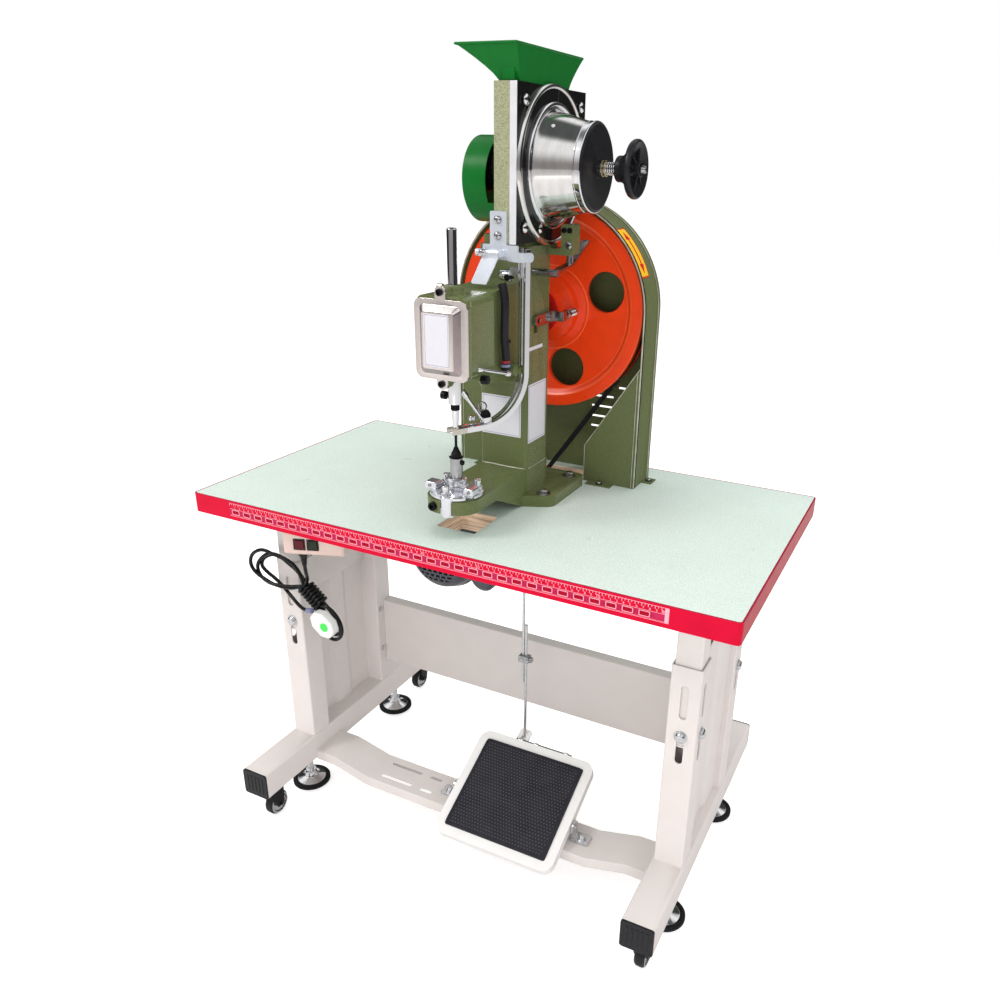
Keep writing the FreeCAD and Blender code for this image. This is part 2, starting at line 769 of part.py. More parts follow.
# ================================================================ motor, belt and switch
def motor():
    z = z_of(-motor_drop)
    front, rear = motor_span
    radius = motor_radius
    profile = [(0, front), (radius - 34, front), (radius - 22, front + 5), (radius - 8, front + 17),
               (radius - 2, front + 32), (radius - 2, front + 36), (radius, front + 38),
               (radius, rear - 40), (radius - 2, rear - 38), (radius - 2, rear - 33),
               (radius - 12, rear - 16), (radius - 30, rear - 4), (26, rear - 4), (26, rear), (0, rear)]
    body = turned("y", (motor_x, z), profile)
    for row, count in ((-1, 6), (0, 7), (1, 6), (2, 5)):
        for index in range(count):
            x = motor_x + (index - (count - 1) / 2) * 12
            slot_z = z - 30 - row * 9
            body = body.cut(box(around(x, 4), (front - 1, front + 9), around(slot_z, 2.5)))
    angle = math.radians(capacitor_angle)
    away = radius + capacitor_radius - 3
    can_x = motor_x + away * math.cos(angle)
    can_z = z + away * math.sin(angle)
    can = turned("y", (can_x, can_z), [(0, front + 8), (capacitor_radius - 8, front + 8),
                                       (capacitor_radius, front + 16), (capacitor_radius, front + 96),
                                       (capacitor_radius - 5, front + 100), (0, front + 100)])
    base = prism("xy", rectangle(around(motor_x, hanger_width / 2 + 16), (front + 34, rear - 22), 8),
                 table_under - 8, table_under)
    pieces = [body, can, base]
    for side in (-1, 1):
        foot_x = motor_x + side * (hanger_width / 2 - 6)
        pieces.append(box(around(foot_x, 5), (front + 44, rear - 34), (z + 40, table_under - 4)))
    whole = fuse(pieces)
    return whole.cut(rod("y", (motor_x, z), motor_shaft + running_fit, rear - 36, rear + 1))


def motor_pulley():
    z = z_of(-motor_drop)
    rear = motor_span[1]
    half = belt_width / 2 + belt_gap
    flare = 2.2
    profile = [(0, rear - 34), (motor_shaft, rear - 34), (motor_shaft, rear + 12), (18, rear + 12),
               (18, belt_y - half - 9), (pulley_radius, belt_y - half - 5),
               (pulley_radius, belt_y - half - flare), (pulley_root, belt_y - half),
               (pulley_root, belt_y + half), (pulley_radius, belt_y + half + flare),
               (pulley_radius, belt_y + half + 5), (motor_shaft, belt_y + half + 5),
               (motor_shaft, belt_y + half + 12), (0, belt_y + half + 12)]
    return turned("y", (motor_x, z), profile)


def loop_outline(top, top_radius, low, low_radius):
    """Wire round two circles and their outer tangents, in the XZ plane."""
    run = low - top
    distance = run.Length
    toward = math.atan2(run.z, run.x)
    lean = math.acos((top_radius - low_radius) / distance)
    edges = []
    ends = []
    for side in (1, -1):
        angle = toward + side * lean
        square = Vec(math.cos(angle), 0, math.sin(angle))
        ends.append((top + square * top_radius, low + square * low_radius))
    crown = top - run.normalize() * top_radius
    heel = low + (low - top).normalize() * low_radius
    edges.append(Part.Arc(ends[0][0], crown, ends[1][0]).toShape())
    edges.append(Part.LineSegment(ends[1][0], ends[1][1]).toShape())
    edges.append(Part.Arc(ends[1][1], heel, ends[0][1]).toShape())
    edges.append(Part.LineSegment(ends[0][1], ends[0][0]).toShape())
    return Part.Wire(Part.__sortEdges__(edges))


def v_belt():
    top = Vec(0, 0, z_of(shaft_z))
    low = Vec(motor_x, 0, z_of(-motor_drop))
    inner_top = groove_root() + belt_gap
    inner_low = pulley_root + belt_gap
    outer = Part.Face(loop_outline(top, inner_top + belt_thickness, low, inner_low + belt_thickness))
    inner = Part.Face(loop_outline(top, inner_top, low, inner_low))
    ring = outer.cut(inner)
    ring.translate(AXES["y"] * (belt_y - belt_width / 2))
    return ring.extrude(AXES["y"] * belt_width)


def groove_root():
    return wheel_rim - belt_thickness - belt_gap


def to_switch(shape):
    """Moves a piece from the switch's own frame, front left corner at the origin, to its turned place."""
    shape.rotate(Vec(0, 0, 0), AXES["z"], switch_turn)
    shape.translate(Vec(switch_corner[0], switch_corner[1], 0))
    return shape


def switch_box():
    """Moulded box with a chamfered face, two button bezels and the cord's gland."""
    button_z = table_under - button_drop
    whole = rectangle((0, switch_length), (switch_z, table_under), 4)
    inset = rectangle((switch_lip, switch_length - switch_lip), (switch_z + switch_lip, table_under), 2)
    rear = outline("xz", whole)
    rear.translate(AXES["y"] * switch_lip)
    pieces = [Part.makeLoft([outline("xz", inset), rear], True),
              prism("xz", whole, switch_lip, switch_depth)]
    reach = button_size / 2 + bezel_rim
    for along in (red_along, green_along):
        pieces.append(prism("xz", rectangle(around(along, reach), around(button_z, reach), 2.5), -1, 2))
    shell = to_switch(fuse(pieces))
    gland = turned("z", (gland_x, gland_y), [(0, switch_z), (9, switch_z), (9, switch_z - 5),
                                             (7, switch_z - 5), (5, switch_z - gland_length),
                                             (0, switch_z - gland_length)])
    shell = fuse([shell, gland])
    opening = button_size / 2 + loose_fit
    for along in (red_along, green_along):
        hole = prism("xz", rectangle(around(along, opening), around(button_z, opening), 1.5),
                     -2, button_depth + button_travel + 1)
        shell = shell.cut(to_switch(hole))
    return shell


def push_button(along):
    half = button_size / 2
    button_z = table_under - button_drop
    button = prism("xz", rectangle(around(along, half), around(button_z, half), 1.5),
                   -button_proud, button_depth)
    return to_switch(button)


# ================================================================ cord
cord_route = [(-305.0, -217.0, 584.0), (-305.0, -217.0, 563.0), (-310.0, -209.0, 544.0),
              (-318.5, -198.0, 530.0), (-328.0, -190.0, 518.0)]
hank_outline = [(-470.0, 530.0, 24), (-438.0, 574.0, 20), (-350.0, 568.0, 18), (-296.0, 524.0, 14),
                (-240.0, 448.0, 20), (-256.0, 404.0, 18), (-300.0, 406.0, 12), (-352.0, 460.0, 14),
                (-458.0, 496.0, 18)]
hank_y = (-192.0, -172.0)
plug_thickness = 20.0
plug_lean = 38.0
plug_centre = Vec(-286.0, 0.0, 446.0)
plug_half = ((-26.0, 13.0, 6), (-8.0, 17.0, 10), (12.0, 17.0, 10), (27.0, 9.0, 8))


def cord_tube():
    """Straight runs joined by tangent arcs, as large as their runs allow."""
    points = [Vec(*p) for p in cord_route]
    radius = cord_diameter / 2
    edges = []
    radii = []
    here = points[0]
    for before, at, after in zip(points, points[1:], points[2:]):
        way_in = at - before
        way_out = after - at
        turn = way_in.getAngle(way_out)
        arc = 0.45 * min(way_in.Length, way_out.Length) / math.tan(turn / 2)
        radii.append(arc)
        cut = arc * math.tan(turn / 2)
        start = at - way_in.normalize() * cut
        end = at + way_out.normalize() * cut
        towards = (end - at).normalize() + (start - at).normalize()
        bisector = towards.normalize()
        mid = at + bisector * (arc / math.cos(turn / 2) - arc)
        edges.append(Part.LineSegment(here, start).toShape())
        edges.append(Part.Arc(start, mid, end).toShape())
        here = end
    edges.append(Part.LineSegment(here, points[-1]).toShape())
    path = Part.Wire(edges)
    ring = Part.Wire(Part.makeCircle(radius, points[0], points[1] - points[0]))
    tube = path.makePipeShell([ring], True, False)
    section = math.pi * radius * radius
    print("cord radii", [round(r, 1) for r in radii], "length", round(path.Length, 1),
          "volume ratio", round(tube.Volume / (section * path.Length), 4))
    return tube


def cord_hank():
    hank = prism("xz", hank_outline, *hank_y)
    end = Vec(*cord_route[-1])
    return hank.cut(cord_socket(end))


def cord_socket(end):
    """The pocket in which the cord's straight stretch ends."""
    before = Vec(*cord_route[-2])
    way = (end - before).normalize()
    return Part.makeCylinder(cord_diameter / 2, 30, end - way * 30, way)


def plug():
    """Moulded plug with a smooth cap over its pins, resting against the hank."""
    back = hank_y[0]
    upper = list(plug_half)
    lower = [(x, -z, r) for x, z, r in reversed(plug_half)]
    body = prism("xz", upper + lower, back - plug_thickness, back)
    neck_x = plug_half[0][0]
    neck = prism("xz", [(neck_x - 10, -4, 2), (neck_x + 2, -6, 2), (neck_x + 2, 6, 2), (neck_x - 10, 4, 2)],
                 back - plug_thickness + 4, back - 5)
    shape = fuse([body, neck])
    shape.rotate(Vec(0, 0, 0), AXES["y"], plug_lean)
    shape.translate(plug_centre)
    return shape


# ================================================================ machine casting
def machine_frame():
    """C-shaped casting: base with its anvil arm, column, neck and head box."""
    front = punch_y - arm_tip_radius
    base = prism("yz", [(front, z_of(arm_under)), (arch_start_y, z_of(arm_under), 8),
                        (arch_end_y, z_of(0)), (foot_plate_y[1], z_of(0)),
                        (foot_plate_y[1], z_of(foot_plate_thickness), 3),
                        (column_y[1], z_of(foot_plate_thickness), 8), (column_y[1], z_of(arm_top)),
                        (front, z_of(arm_top), 3)], -arm_half, arm_half)
    tip = prism("xy", [(-arm_half, front, arm_tip_radius - 6), (arm_half, front, arm_tip_radius - 6),
                       (arm_half, foot_plate_y[1] + 1), (-arm_half, foot_plate_y[1] + 1)],
                z_of(-1), z_of(arm_top + 1))
    base = base.common(tip)
    low, high = foot_plate_y
    half = foot_plate_half
    plate = prism("xy", [(-arm_half, low), (-half, low + 24, 18), (-half, high, 14), (half, high, 14),
                         (half, low + 24, 18), (arm_half, low)],
                  z_of(0), z_of(foot_plate_thickness))
    column = prism("xy", rectangle((-column_half, column_half), column_y, 7), z_of(0), z_of(column_top))
    neck = prism("yz", [(column_y[0] + 5, z_of(neck_z[0] - 26), 10), (column_y[0] - 24, z_of(neck_z[0]), 22),
                        (head_y[1] - 4, z_of(neck_z[0] + 14), 6), (head_y[1] - 4, z_of(neck_z[1] - 8), 6),
                        (column_y[0] + 5, z_of(neck_z[1]))], -neck_half, neck_half)
    head = prism("xz", rectangle((-head_half, head_half), (z_of(head_z[0]), z_of(head_z[1])), head_corner),
                 *head_y)
    rim = prism("xz", rectangle((-head_half - 2, head_half + 2),
                                (z_of(head_z[0] - 2), z_of(head_z[1] - 4)), head_corner),
                head_y[0], head_y[0] + 8)
    lugs = []
    for height in cover_screw_z:
        lugs.append(rod("y", (0, z_of(height)), 9, head_y[0], head_y[0] + 14))
        toward = 12 if height < head_z[0] else -12
        lugs.append(box((-9, 9), (head_y[0], head_y[0] + 14), sorted((z_of(height), z_of(height + toward)))))
    top_boss = turned("z", (0, punch_y), [(0, z_of(head_z[1] - 6)), (22, z_of(head_z[1] - 6)),
                                          (17, z_of(head_z[1] + 6)), (0, z_of(head_z[1] + 6))])
    low_boss = turned("z", (0, punch_y), [(0, z_of(head_z[0] + 4)), (20, z_of(head_z[0] + 4)),
                                          (16, z_of(head_z[0] - 9)), (0, z_of(head_z[0] - 9))])
    bearing = rod("y", (0, z_of(shaft_z)), 32, column_y[1] - 2, column_y[1] + 14)
    casting = fuse([base, plate, column, neck, head, rim, top_boss, low_boss, bearing] + lugs)

    hollow = box((-cavity_half, cavity_half), cavity_y, (z_of(-1), z_of(cavity_top)))
    crank_room = prism("xz", rectangle((head_wall - head_half, head_half - head_wall),
                                       (z_of(head_z[0] + 12), z_of(head_z[1] - 12)), 8),
                       head_y[0] - 1, head_y[1] - head_wall)
    shaft_bore = rod("y", (0, z_of(shaft_z)), shaft_radius + running_fit, head_y[1] - 30, column_y[1] + 20)
    ram_bore = rod("z", (0, punch_y), ram_radius + running_fit, z_of(head_z[1] - 20), z_of(head_z[1] + 20))
    foot_bore = rod("z", (0, punch_y), ram_foot_radius + running_fit, z_of(head_z[0] - 20),
                    z_of(head_z[0] + 20))
    die_bore = rod("z", (0, punch_y), die_post_radius + running_fit, z_of(arm_under - 5), z_of(arm_top + 5))
    split = box((-2, 2), (front - 2, punch_y), (z_of(arm_under - 5), z_of(arm_top + 5)))
    lever_z = z_of(lever_pivot[1])
    hook_x = rod_x - rod_pitch / 2
    rod_bore = rod("z", (hook_x, rod_y), rod_bore_radius, z_of(cavity_top - 1), lever_z + 8)
    window = box((hook_x, column_half + 1), around(rod_y, rod_bore_radius),
                 (lever_z - rod_travel - 6, lever_z + 8))
    pivot = rod("x", (lever_pivot[0], lever_z), pin_radius + running_fit, column_half - 22,
                column_half + 1)
    casting = casting.cut(Part.makeCompound([hollow, crank_room]))
    for cutter in (shaft_bore, ram_bore, foot_bore, die_bore, split, rod_bore, window, pivot):
        casting = casting.cut(cutter)
    for x, y in foot_bolts:
        for side in (-1, 1):
            casting = casting.cut(rod("z", (side * x, y), 5.5, z_of(-1), z_of(foot_plate_thickness + 1)))
    return casting


def trip_lever():
    """Clutch trip lever outside the column, with its spring plunger."""
    low_x, high_x = lever_x
    y_pin, height = lever_pivot
    z_pin = z_of(height)
    half = lever_height / 2
    bar = prism("yz", [(rod_y - 14, z_pin - half, half - 1), (y_pin + 30, z_pin - half, 3),
                       (y_pin + 30, z_pin + half, 3), (rod_y - 14, z_pin + half, half - 1)], low_x, high_x)
    pin = rod("x", (y_pin, z_pin), pin_radius, column_half - 20, high_x + 3)
    head = rod("x", (y_pin, z_pin), 8, high_x, high_x + 5)
    block = box((low_x, high_x + 16), (y_pin + 18, y_pin + 32), (z_pin - 9, z_pin + 7))
    plunger = turned("y", (high_x + 8, z_pin - 1), [(0, y_pin + 30), (7, y_pin + 32), (7, y_pin + 54),
                                                    (3.2, y_pin + 54), (3.2, y_pin + 58),
                                                    (5, y_pin + 58), (5, y_pin + 66), (0, y_pin + 66)])
    lever = fuse([bar, pin, head, block, plunger])
    eye = prism("yz", rectangle((rod_y - 7, rod_y + 4), around(z_pin, 3.6), 3.5), low_x - 1, high_x + 1)
    return lever.cut(eye)


def crankshaft():
    z = z_of(shaft_z)
    disc_rear = head_y[1] - head_wall - 1
    disc_front = disc_rear - 10
    collar = column_y[1] + 14 + body_gap
    wide, length = shaft_collar
    nut_radius, nut_length = shaft_nut
    profile = [(0, disc_front), (crank_disc, disc_front), (crank_disc, disc_rear), (shaft_radius, disc_rear),
               (shaft_radius, collar), (wide, collar), (wide, collar + length),
               (wide - 6, collar + length + 4), (shaft_radius, collar + length + 4),
               (shaft_radius, shaft_rear - 2), (nut_radius, shaft_rear - 2),
               (nut_radius, shaft_rear + nut_length), (0, shaft_rear + nut_length)]
    shaft = turned("y", (0, z), profile)
    pin_end = punch_y + ram_block[1] + crank_gap
    pin = rod("y", (0, z + crank_throw), crank_pin, pin_end, disc_front)
    return fuse([shaft, pin])


def flywheel():
    z = z_of(shaft_z)
    bore = shaft_radius + running_fit
    root = groove_root()
    half = belt_width / 2 + belt_gap
    flare = 2.2
    profile = [(bore, hub_y[0]), (38, hub_y[0]), (38, hub_y[0] + 16), (hub_radius, hub_y[0] + 22),
               (hub_radius, web_y[0] - 6), (hub_radius + 12, web_y[0]), (rim_inner - 7, web_y[0]),
               (rim_inner, rim_y[0] + 3), (rim_inner + 4, rim_y[0]), (wheel_rim - 2, rim_y[0]),
               (wheel_rim, rim_y[0] + 2), (wheel_rim, belt_y - half - flare), (root, belt_y - half),
               (root, belt_y + half), (wheel_rim, belt_y + half + flare), (wheel_rim, rim_y[1] - 2),
               (wheel_rim - 2, rim_y[1]), (rim_inner + 3, rim_y[1]), (rim_inner, web_y[1] + 4),
               (rim_inner - 4, web_y[1]), (hub_radius, web_y[1]), (44, hub_y[1]), (bore, hub_y[1])]
    wheel = turned("y", (0, z), profile)
    for quarter in range(4):
        angle = math.radians(hole_angle + 90 * quarter)
        centre = (hole_circle * math.cos(angle), z + hole_circle * math.sin(angle))
        wheel = wheel.cut(rod("y", centre, hole_radius, web_y[0] - 5, web_y[1] + 5))
    return wheel


def arch(half, low):
    """Outline of the guard: straight sides under a half circle."""
    top = z_of(shaft_z)
    left = Vec(-half, 0, low)
    right = Vec(half, 0, low)
    edges = [Part.LineSegment(left, right).toShape(),
             Part.LineSegment(right, Vec(half, 0, top)).toShape(),
             Part.Arc(Vec(half, 0, top), Vec(0, 0, top + half), Vec(-half, 0, top)).toShape(),
             Part.LineSegment(Vec(-half, 0, top), left).toShape()]
    return Part.Face(Part.Wire(edges))


def arch_block(half, low, y):
    face = arch(half, low)
    face.translate(AXES["y"] * y[0])
    return face.extrude(AXES["y"] * (y[1] - y[0]))


def tab_screws():
    """X and Y of the four screws that hold the guard down."""
    front, rear = guard_y
    spots = []
    for side in (-1, 1):
        spots.append((side * (guard_panel_inner + 37), front - 10))
        spots.append((side * (guard_half + 10), rear - 22))
    return spots


def flywheel_guard():
    """Sheet-metal arch, back plate with louvre slots, and the two low front panels."""
    front, rear = guard_y
    inner = guard_half - guard_wall
    shell = arch_block(guard_half, z_of(0), (front, rear))
    shell = shell.cut(arch_block(inner, z_of(-1), (front - 1, rear - guard_wall)))
    lap, depth = guard_hem
    hem = arch_block(guard_half + lap, z_of(0), (rear - depth, rear))
    hem = hem.cut(arch_block(guard_half - guard_wall / 2, z_of(-1), (rear - depth - 1, rear + 1)))
    pieces = [shell, hem]
    for side in (-1, 1):
        panel = [(side * inner, z_of(0)), (side * guard_panel_inner, z_of(0)),
                 (side * guard_panel_inner, z_of(guard_panel_step)), (side * inner, z_of(guard_panel_top))]
        pieces.append(prism("xz", panel, front, front + guard_wall))
        tab_x = sorted((side * (guard_panel_inner + 12), side * (guard_panel_inner + 62)))
        pieces.append(box(tab_x, (front - 20, front + guard_wall), (z_of(0), z_of(guard_wall))))
        side_x = sorted((side * inner, side * (guard_half + 20)))
        pieces.append(box(side_x, (rear - 36, rear - 8), (z_of(0), z_of(guard_wall))))
    guard = fuse(pieces)
    for x, y in tab_screws():
        guard = guard.cut(rod("z", (x, y), tab_screw_radius, z_of(-1), z_of(guard_wall + 1)))
    for row in range(louvre_rows):
        z = z_of(86 + row * louvre_pitch)
        for side in (-1, 1):
            for start in (64.0, 118.0):
                x = sorted((side * start, side * (start + louvre_width)))
                guard = guard.cut(box(x, (rear - guard_wall - 1, rear + 1), (z, z + 4)))
    return guard


# ================================================================ head, ram and dies
def head_cover():
    """Flanged cover with a bevelled raised panel."""
    back = head_y[0]
    flange = prism("xz", rectangle((-head_half - 2, head_half + 2),
                                   (z_of(head_z[0] - 2), z_of(head_z[1] - 4)), head_corner),
                   back - cover_flange, back)
    pieces = [flange]
    for height in cover_screw_z:
        pieces.append(rod("y", (0, z_of(height)), 9, back - cover_flange, back))
        toward = 12 if height < head_z[0] else -12
        pieces.append(box((-9, 9), (back - cover_flange, back),
                          sorted((z_of(height), z_of(height + toward)))))
    wide = outline("xz", rectangle((-36, 36), (z_of(head_z[0] + 6), z_of(head_z[1] - 12)), 8))
    narrow = outline("xz", rectangle((-27, 27), (z_of(head_z[0] + 15), z_of(head_z[1] - 21)), 4))
    wide.translate(AXES["y"] * (back - cover_flange + 0.5))
    narrow.translate(AXES["y"] * (back - cover_flange - cover_rise))
    pieces.append(Part.makeLoft([wide, narrow], True))
    cover = fuse(pieces)
    for height in cover_screw_z:
        cover = cover.cut(rod("y", (0, z_of(height)), 3.2, back - cover_flange - 1, back + 1))
    return cover


def ram():
    half_x, half_y, low, high = ram_block
    foot = rod("z", (0, punch_y), ram_foot_radius, z_of(ram_bottom), z_of(low + 2))
    block = box((-half_x, half_x), (punch_y - half_y, punch_y + half_y), (z_of(low), z_of(high)))
    stem = turned("z", (0, punch_y), [(0, z_of(high - 2)), (ram_radius, z_of(high - 2)),
                                      (ram_radius, z_of(ram_top - 2)), (ram_radius - 2, z_of(ram_top)),
                                      (0, z_of(ram_top))])
    return fuse([foot, block, stem])


def punch():
    """Knurled collar, the tube seated under it, and the thumb screw that locks the collar in the ram."""
    top = ram_bottom
    collar = top - punch_collar_height
    seat = punch_tip + punch_bore_depth
    outside, tip = punch_tube
    tube = turned("z", (0, punch_y), [(punch_bore, z_of(punch_tip)), (tip, z_of(punch_tip)),
                                      (tip, z_of(punch_tip + 4)), (outside, z_of(punch_tip + 16)),
                                      (outside, z_of(seat)), (punch_bore, z_of(seat))])
    shank = turned("z", (0, punch_y), [(0, z_of(seat)), (outside, z_of(seat)), (outside, z_of(collar)),
                                       (punch_collar, z_of(collar)), (punch_collar, z_of(top)),
                                       (0, z_of(top))])
    side = -ram_foot_radius
    thumb = turned("x", (punch_y, z_of(top + 11)), [(0, side), (3, side), (3, side - 5), (6.5, side - 5),
                                                    (6.5, side - 13), (0, side - 13)])
    return Part.makeCompound([tube, shank, thumb])


def die_post():
    """Post with a cone on top, and the pin that stands on the cone."""
    low, high = die_post_z
    profile = [(0, z_of(low)), (die_post_radius, z_of(low)), (die_post_radius, z_of(high)),
               (8.2, z_of(high)), (8.2, z_of(high + 7)), (6.2, z_of(high + 10)),
               (3.0, z_of(die_cone_top)), (0, z_of(die_cone_top))]
    post = turned("z", (0, punch_y), profile)
    pin = rod("z", (0, punch_y), die_pin_radius, z_of(die_cone_top), z_of(die_pin_top))
    return Part.makeCompound([post, pin])


def clamp_plate():
    """Round plate on the anvil arm with its collar and three clamp screws."""
    bore = die_post_radius + running_fit
    seat = z_of(arm_top)
    plate = turned("z", (0, punch_y), [(bore, seat), (plate_radius - 3, seat), (plate_radius, seat + 2),
                                       (plate_radius, seat + 6), (plate_radius - 5, seat + 8),
                                       (20, seat + 8), (20, seat + 15), (17, seat + 17), (17, seat + 25),
                                       (14, seat + 27), (bore, seat + 27)])
    pieces = [plate]
    for index in range(3):
        angle = math.radians(30 + 120 * index)
        centre = (33 * math.cos(angle), punch_y + 33 * math.sin(angle))
        pieces.append(rod("z", centre, 8.5, seat + 7, seat + 12))
        pieces.append(rod("z", centre, 5.5, seat + 11, seat + 18))
    whole = fuse(pieces)
    for index in range(3):
        angle = math.radians(90 + 120 * index)
        centre = ((plate_radius + 3) * math.cos(angle), punch_y + (plate_radius + 3) * math.sin(angle))
        whole = whole.cut(rod("z", centre, 9, seat - 1, seat + 12))
    return whole


def machine_screws():
    """Base bolts, cover screws, hopper plate screws and the guard's tab screws."""
    items = []
    for x, y in foot_bolts:
        for side in (-1, 1):
            items.append(screw("z", (side * x, y), z_of(foot_plate_thickness), 1, 8, 6, 5, 18, 12))
    for height in cover_screw_z:
        items.append(screw("y", (0, z_of(height)), head_y[0] - cover_flange, -1, 5.5, 4.5, 3, 3.5))
    for y, height in face_screws:
        items.append(screw("x", (y, z_of(height)), face_x[1], 1, 7.5, 4.5, 4, 6))
    for spot_xy in tab_screws():
        items.append(screw("z", spot_xy, z_of(guard_wall), 1, 4, 3, tab_screw_radius, guard_wall, 6))
    return Part.makeCompound(items)


# ================================================================ hopper
face_screws = ((-61.0, 642.0), (133.0, 642.0), (-60.0, 466.0))


def plate_outline():
    """The hopper plate: square above, drawn in under the ring at the rear."""
    low_y, high_y = hopper_plate_y
    low_z, high_z = hopper_plate_z
    return [(low_y, z_of(low_z)), (column_y[1], z_of(low_z)), (column_y[1] + 8, z_of(low_z + 22), 10),
            (high_y - 20, z_of(low_z + 92), 20), (high_y, z_of(low_z + 110), 8), (high_y, z_of(high_z)),
            (low_y, z_of(high_z))]


def hopper_casting():
    """Thick ribbed casting that carries the hopper, with its foot on the column."""
    body = prism("yz", plate_outline(), *casting_x)
    low_y, high_y = hopper_plate_y
    pocket = prism("yz", [(low_y + 14, z_of(hopper_plate_z[0] + 40), 10), (column_y[1] - 8,
                          z_of(hopper_plate_z[0] + 40), 10), (high_y - 16, z_of(hopper_plate_z[0] + 122), 10),
                          (high_y - 16, z_of(hopper_plate_z[1] - 14), 10),
                          (low_y + 14, z_of(hopper_plate_z[1] - 14), 10)],
                   casting_x[0] - 1, casting_x[1] - 8)
    boss = rod("x", (hopper_y, z_of(hopper_z)), 26, casting_x[0] - 14, casting_x[1])
    foot_z = (z_of(column_top), z_of(hopper_plate_z[0] + 8))
    foot = prism("xy", rectangle((-column_half + 6, casting_x[1]), (column_y[0] + 2, column_y[1] - 2), 6),
                 *foot_z)
    gusset = prism("xz", [(-column_half + 12, foot_z[1] - 2), (casting_x[0] + 2, foot_z[1] - 2),
                          (casting_x[0] + 2, z_of(hopper_plate_z[0] + 18))],
                   column_y[0] + 30, column_y[0] + 42)
    reach, under, over = stay_arm
    beside = column_half + body_gap
    step = z_of(under + stay_arm_thick)
    arm = prism("xz", [(casting_x[1] - 6, foot_z[0]), (beside, foot_z[0]), (beside, z_of(under)),
                       (reach, z_of(under), 4), (reach, z_of(over), 4),
                       (reach - stay_arm_post, z_of(over), 4), (reach - stay_arm_post, step, 3),
                       (face_x[1] - 1, step), (face_x[1] - 1, foot_z[0] + 6),
                       (casting_x[1] - 6, foot_z[0] + 6)], *stay_arm_y)
    casting = fuse([body.cut(pocket), boss, foot, gusset, arm])
    bore = rod("x", (hopper_y, z_of(hopper_z)), spindle_radius + running_fit, casting_x[0] - 20,
               casting_x[1] + 1)
    return casting.cut(bore)


def hopper_face_plate():
    plate = prism("yz", plate_outline(), *face_x)
    bore = rod("x", (hopper_y, z_of(hopper_z)), spindle_radius + running_fit, face_x[0] - 1, face_x[1] + 1)
    plate = plate.cut(bore)
    for y, height in face_screws:
        plate = plate.cut(rod("x", (y, z_of(height)), 4.1, face_x[1] - 8, face_x[1] + 1))
    return plate


def hopper_bowl():
    """Stepped raceway ring and conical bowl, turned from one axis."""
    bore = spindle_radius + running_fit
    x = face_x[1]
    band = ring_radius - ring_band
    profile = [(bore, x), (ring_radius, x), (ring_radius, x + 3), (ring_radius - 2, x + 6),
               (band + 2, x + 7), (band, x + 4.5), (race_inner, x + 4.5), (race_inner - 1, x + 8),
               (race_inner - 5, x + 9.5), (race_inner - 8, x + 7), (bowl_base + 2, x + 7),
               (bowl_base, x + 12), (bowl_mouth + 1, bowl_end_x - mouth_band),
               (bowl_mouth + 2.5, bowl_end_x - mouth_band + 2), (bowl_mouth + 1, bowl_end_x),
               (bowl_mouth - 1, bowl_end_x), (bowl_mouth - 1, bowl_end_x - 6), (bore, bowl_end_x - 6)]
    return turned("x", (hopper_y, z_of(hopper_z)), profile)


def bowl_cover():
    bore = spindle_radius + running_fit
    x = bowl_end_x
    rim = bowl_mouth - 1.2
    profile = [(bore, x - 6), (rim, x - 6), (rim, x + 1), (rim - 2.2, x + 2.5),
               (14, x + 2.5), (14, x + 5), (bore, x + 5)]
    return turned("x", (hopper_y, z_of(hopper_z)), profile)


def hopper_spindle():
    """Spindle with the drive pulley at one end and the brass thrust collars at the other."""
    low, high = spindle_x
    x = bowl_end_x
    pulley = low + 4
    groove = drive_pulley - 7
    profile = [(0, low), (spindle_radius, low), (spindle_radius, pulley), (drive_pulley, pulley),
               (drive_pulley, pulley + 5), (groove, pulley + 9), (drive_pulley, pulley + 13),
               (drive_pulley, pulley + 18), (16, pulley + 18), (16, pulley + 30),
               (spindle_radius, pulley + 30),
               (spindle_radius, x + 9), (10, x + 9), (10, x + 12), (8, x + 13), (8, x + 15), (10, x + 16),
               (10, x + 19), (spindle_radius, x + 19), (spindle_radius, high - 4), (4, high), (0, high)]
    spindle = turned("x", (hopper_y, z_of(hopper_z)), profile)
    return Part.makeCompound([spindle, spindle_spring()])


def spindle_spring():
    """Coil spring between the collars and the hand knob, as a ridged sleeve."""
    bore = spindle_radius + running_fit
    start = bowl_end_x + 19
    end = knob_x[0]
    coils = 4
    pitch = (end - start) / coils
    profile = [(bore, start)]
    for index in range(coils):
        x = start + index * pitch
        profile += [(8, x), (10.5, x + pitch * 0.3), (10.5, x + pitch * 0.7)]
    profile += [(8, end), (bore, end)]
    return turned("x", (hopper_y, z_of(hopper_z)), profile)


def hopper_knob():
    low, high = knob_x
    bore = spindle_radius
    profile = [(bore, low), (17, low), (19, low + 2), (19, low + 9), (22, low + 14), (30, low + 20),
               (knob_radius - 2, low + 25), (knob_radius, low + 28), (knob_radius, high - 6),
               (knob_radius - 3, high - 3), (knob_radius - 9, high - 6), (22, high - 11), (12, high - 11),
               (11, high), (bore, high)]
    return turned("x", (hopper_y, z_of(hopper_z)), profile)


